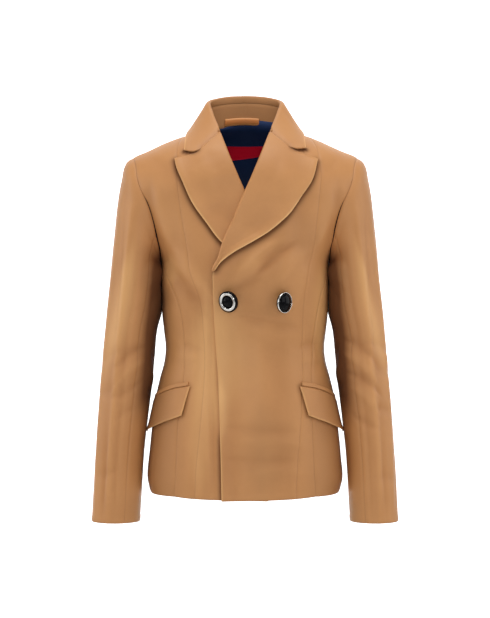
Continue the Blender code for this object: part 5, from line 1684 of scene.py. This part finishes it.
class JacketSettings(bpy.types.PropertyGroup):
    """Colours and finish that a user would change."""

    # leather and leather_deep are the two tones of the mottling; with the creases they also give
    # the painted highlight on ridges and the painted shade in troughs
    leather: FloatVectorProperty(
        name="Leather", description="Colour of the leather on ridges", subtype="COLOR",
        default=(0.665, 0.325, 0.124), min=0.0, max=1.0)
    leather_deep: FloatVectorProperty(
        name="Leather in folds", description="Colour of the leather in troughs", subtype="COLOR",
        default=(0.470, 0.203, 0.070), min=0.0, max=1.0)
    leather_roughness: FloatProperty(
        name="Leather roughness", description="0 is polished and 1 is matt", subtype="FACTOR",
        default=0.47, min=0.0, max=1.0)
    loop: FloatVectorProperty(
        name="Hanger loop", description="Colour of the loop at the nape", subtype="COLOR",
        default=(0.66, 0.22, 0.045), min=0.0, max=1.0)
    crease_scale: FloatProperty(
        name="Creases", description="1 leaves the creases as deep as they are set",
        subtype="FACTOR", default=1.0, min=0.0, max=2.0)
    backdrop: FloatVectorProperty(
        name="Backdrop", description="Colour of the studio floor and wall", subtype="COLOR",
        default=(0.90, 0.90, 0.90), min=0.0, max=1.0)


def looks():
    """The jacket's materials, made once."""
    made = bpy.data.materials
    settings = bpy.context.scene.jacket_settings
    if "tan_leather" not in made:
        leather_look("tan_leather", tuple(settings.leather), tuple(settings.leather_deep),
                     settings.leather_roughness)
        loop = tuple(settings.loop)
        leather_look("orange_leather", loop, tuple(LOOP_DEEP * c for c in loop), LOOP_ROUGH)
        lining_look()
        button_looks()
    return {key: made[name] for key, name in (
        ("leather", "tan_leather"), ("loop", "orange_leather"), ("lining", "navy_lining"),
        ("black", "button_black_gloss"), ("metal", "button_metal_polished"))}


class JACKET_OT_fronts(bpy.types.Operator):
    """Makes the two fronts, of which the wearer's left one laps over"""

    bl_idname = "jacket.fronts"
    bl_label = "Fronts"

    def execute(self, context):
        make_pairs("front")
        return {"FINISHED"}


class JACKET_OT_side_fronts(bpy.types.Operator):
    """Makes the two side fronts, between shaped seam and armhole"""

    bl_idname = "jacket.side_fronts"
    bl_label = "Side fronts"

    def execute(self, context):
        make_pairs("side_front")
        return {"FINISHED"}


class JACKET_OT_side_panels(bpy.types.Operator):
    """Makes the two side panels, from the hem to the underarm"""

    bl_idname = "jacket.side_panels"
    bl_label = "Side panels"

    def execute(self, context):
        make_pairs("side_panel")
        return {"FINISHED"}


class JACKET_OT_backs(bpy.types.Operator):
    """Makes the two backs, joined at the centre back seam"""

    bl_idname = "jacket.backs"
    bl_label = "Backs"

    def execute(self, context):
        make_pairs("back")
        return {"FINISHED"}


class JACKET_OT_sleeves(bpy.types.Operator):
    """Makes the two-piece sleeves, whose cuffs are open"""

    bl_idname = "jacket.sleeves"
    bl_label = "Sleeves"

    def execute(self, context):
        make_pairs("sleeve_top", "sleeve_under")
        return {"FINISHED"}


class JACKET_OT_lapels(bpy.types.Operator):
    """Makes the peak lapels, which turn over the fronts' edges"""

    bl_idname = "jacket.lapels"
    bl_label = "Lapels"

    def execute(self, context):
        make_pairs("lapel")
        return {"FINISHED"}


class JACKET_OT_collar(bpy.types.Operator):
    """Makes the collar's fall and the stand inside it"""

    bl_idname = "jacket.collar"
    bl_label = "Collar"

    def execute(self, context):
        make("collar", 1, "collar_fall_leather", "collar")
        make("collar_stand", 1, "collar_stand_leather", "collar_stand")
        return {"FINISHED"}


class JACKET_OT_pockets(bpy.types.Operator):
    """Makes the slanted pocket flaps and the welts above them"""

    bl_idname = "jacket.pockets"
    bl_label = "Pockets"

    def execute(self, context):
        make_pairs("pocket_flap")
        make_pairs("pocket_welt")
        return {"FINISHED"}


class JACKET_OT_lining(bpy.types.Operator):
    """Makes the back lining and the hanger loop at the nape"""

    bl_idname = "jacket.lining"
    bl_label = "Lining and loop"

    def execute(self, context):
        make("back_lining", 1, "back_lining_satin", "back_lining")
        make("hanger_loop", 1, "hanger_loop_leather", "hanger_loop")
        return {"FINISHED"}


class JACKET_OT_buttons(bpy.types.Operator):
    """Turns the two black buttons with their metal rings"""

    bl_idname = "jacket.buttons"
    bl_label = "Buttons"

    def execute(self, context):
        look = looks()
        for name in BUTTONS:
            matrix, stand_off = button_place(name)
            shape = BUTTON_SHAPES[name]
            radius, level, size = shape["rim"]
            rim = arc(radius, level, size, size, *RIM_ARC)
            foot = -stand_off * BUTTON_FOOT
            body = shape["seat"] + rim + shape["belly"] + [(BUTTON_FOOT_RADIUS, foot), (0, foot)]
            ring = arc(*shape["ring"], *RING_ARC)
            for part, profile, key, slot in (
                    ("body", body, "black", "button_black"),
                    ("ring", ring, "metal", "button_metal"),
                    ("dome", shape["dome"], "black", "button_black")):
                piece = turned(f"button_{name}_{part}_turned", profile, look[key],
                               part == "ring", matrix)
                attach(piece, "root")
                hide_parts(f"button_{name}_{part}")
        return {"FINISHED"}


class JACKET_OT_studio(bpy.types.Operator):
    """Sets up the pale floor and wall, the soft lights and the camera"""

    bl_idname = "jacket.studio"
    bl_label = "Studio"

    def execute(self, context):
        backdrop = tuple(context.scene.jacket_settings.backdrop)
        paper = shader("studio_paper", backdrop, PAPER_ROUGH)[0]
        wall, _, main = shader("studio_wall", backdrop, PAPER_ROUGH)
        main.inputs["Emission Color"].default_value = (1, 1, 1, 1)
        main.inputs["Emission Strength"].default_value = BACKDROP_GLOW
        floor = sweep()
        for look in (paper, wall):
            floor.data.materials.append(look)
        for lamp in LIGHTS:
            light(*lamp)
        world = bpy.data.worlds.new("studio")
        world.use_nodes = True
        sky = world.node_tree.nodes["Background"]
        sky.inputs["Color"].default_value = (1, 1, 1, 1)
        sky.inputs["Strength"].default_value = WORLD_LIGHT
        context.scene.world = world
        context.scene.view_settings.view_transform = "Standard"
        data = bpy.data.cameras.new("camera")
        data.lens = CAMERA_LENS
        data.clip_end = CAMERA_END
        camera = add("camera", data)
        camera.location = (0.0, -CAMERA_FAR, CAMERA_LEVEL)
        camera.rotation_euler = (math.pi / 2, 0.0, 0.0)
        context.scene.camera = camera
        return {"FINISHED"}


STEPS = (JACKET_OT_studio, JACKET_OT_fronts, JACKET_OT_side_fronts, JACKET_OT_side_panels,
         JACKET_OT_backs, JACKET_OT_sleeves, JACKET_OT_lapels, JACKET_OT_collar,
         JACKET_OT_pockets, JACKET_OT_lining, JACKET_OT_buttons)


class JACKET_PT_panel(bpy.types.Panel):
    """Lists the settings and the steps"""

    bl_label = "Leather Jacket"
    bl_idname = "JACKET_PT_panel"
    bl_space_type = "VIEW_3D"
    bl_region_type = "UI"
    bl_category = "Jacket"

    def draw(self, context):
        settings = context.scene.jacket_settings
        for key in JacketSettings.__annotations__:
            self.layout.prop(settings, key)
        for step in STEPS:
            self.layout.operator(step.bl_idname)


def register():
    """Adds the settings, the operators and the panel."""
    for item in (JacketSettings, *STEPS, JACKET_PT_panel):
        bpy.utils.register_class(item)
    bpy.types.Scene.jacket_settings = PointerProperty(type=JacketSettings)


def unregister():
    """Takes them away again."""
    del bpy.types.Scene.jacket_settings
    for item in reversed((JacketSettings, *STEPS, JACKET_PT_panel)):
        bpy.utils.unregister_class(item)


def main():
    """Builds the jacket."""
    register()
    for step in STEPS:
        group, action = step.bl_idname.split(".")
        getattr(getattr(bpy.ops, group), action)()
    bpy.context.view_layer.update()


if __name__ == "__main__":
    main()
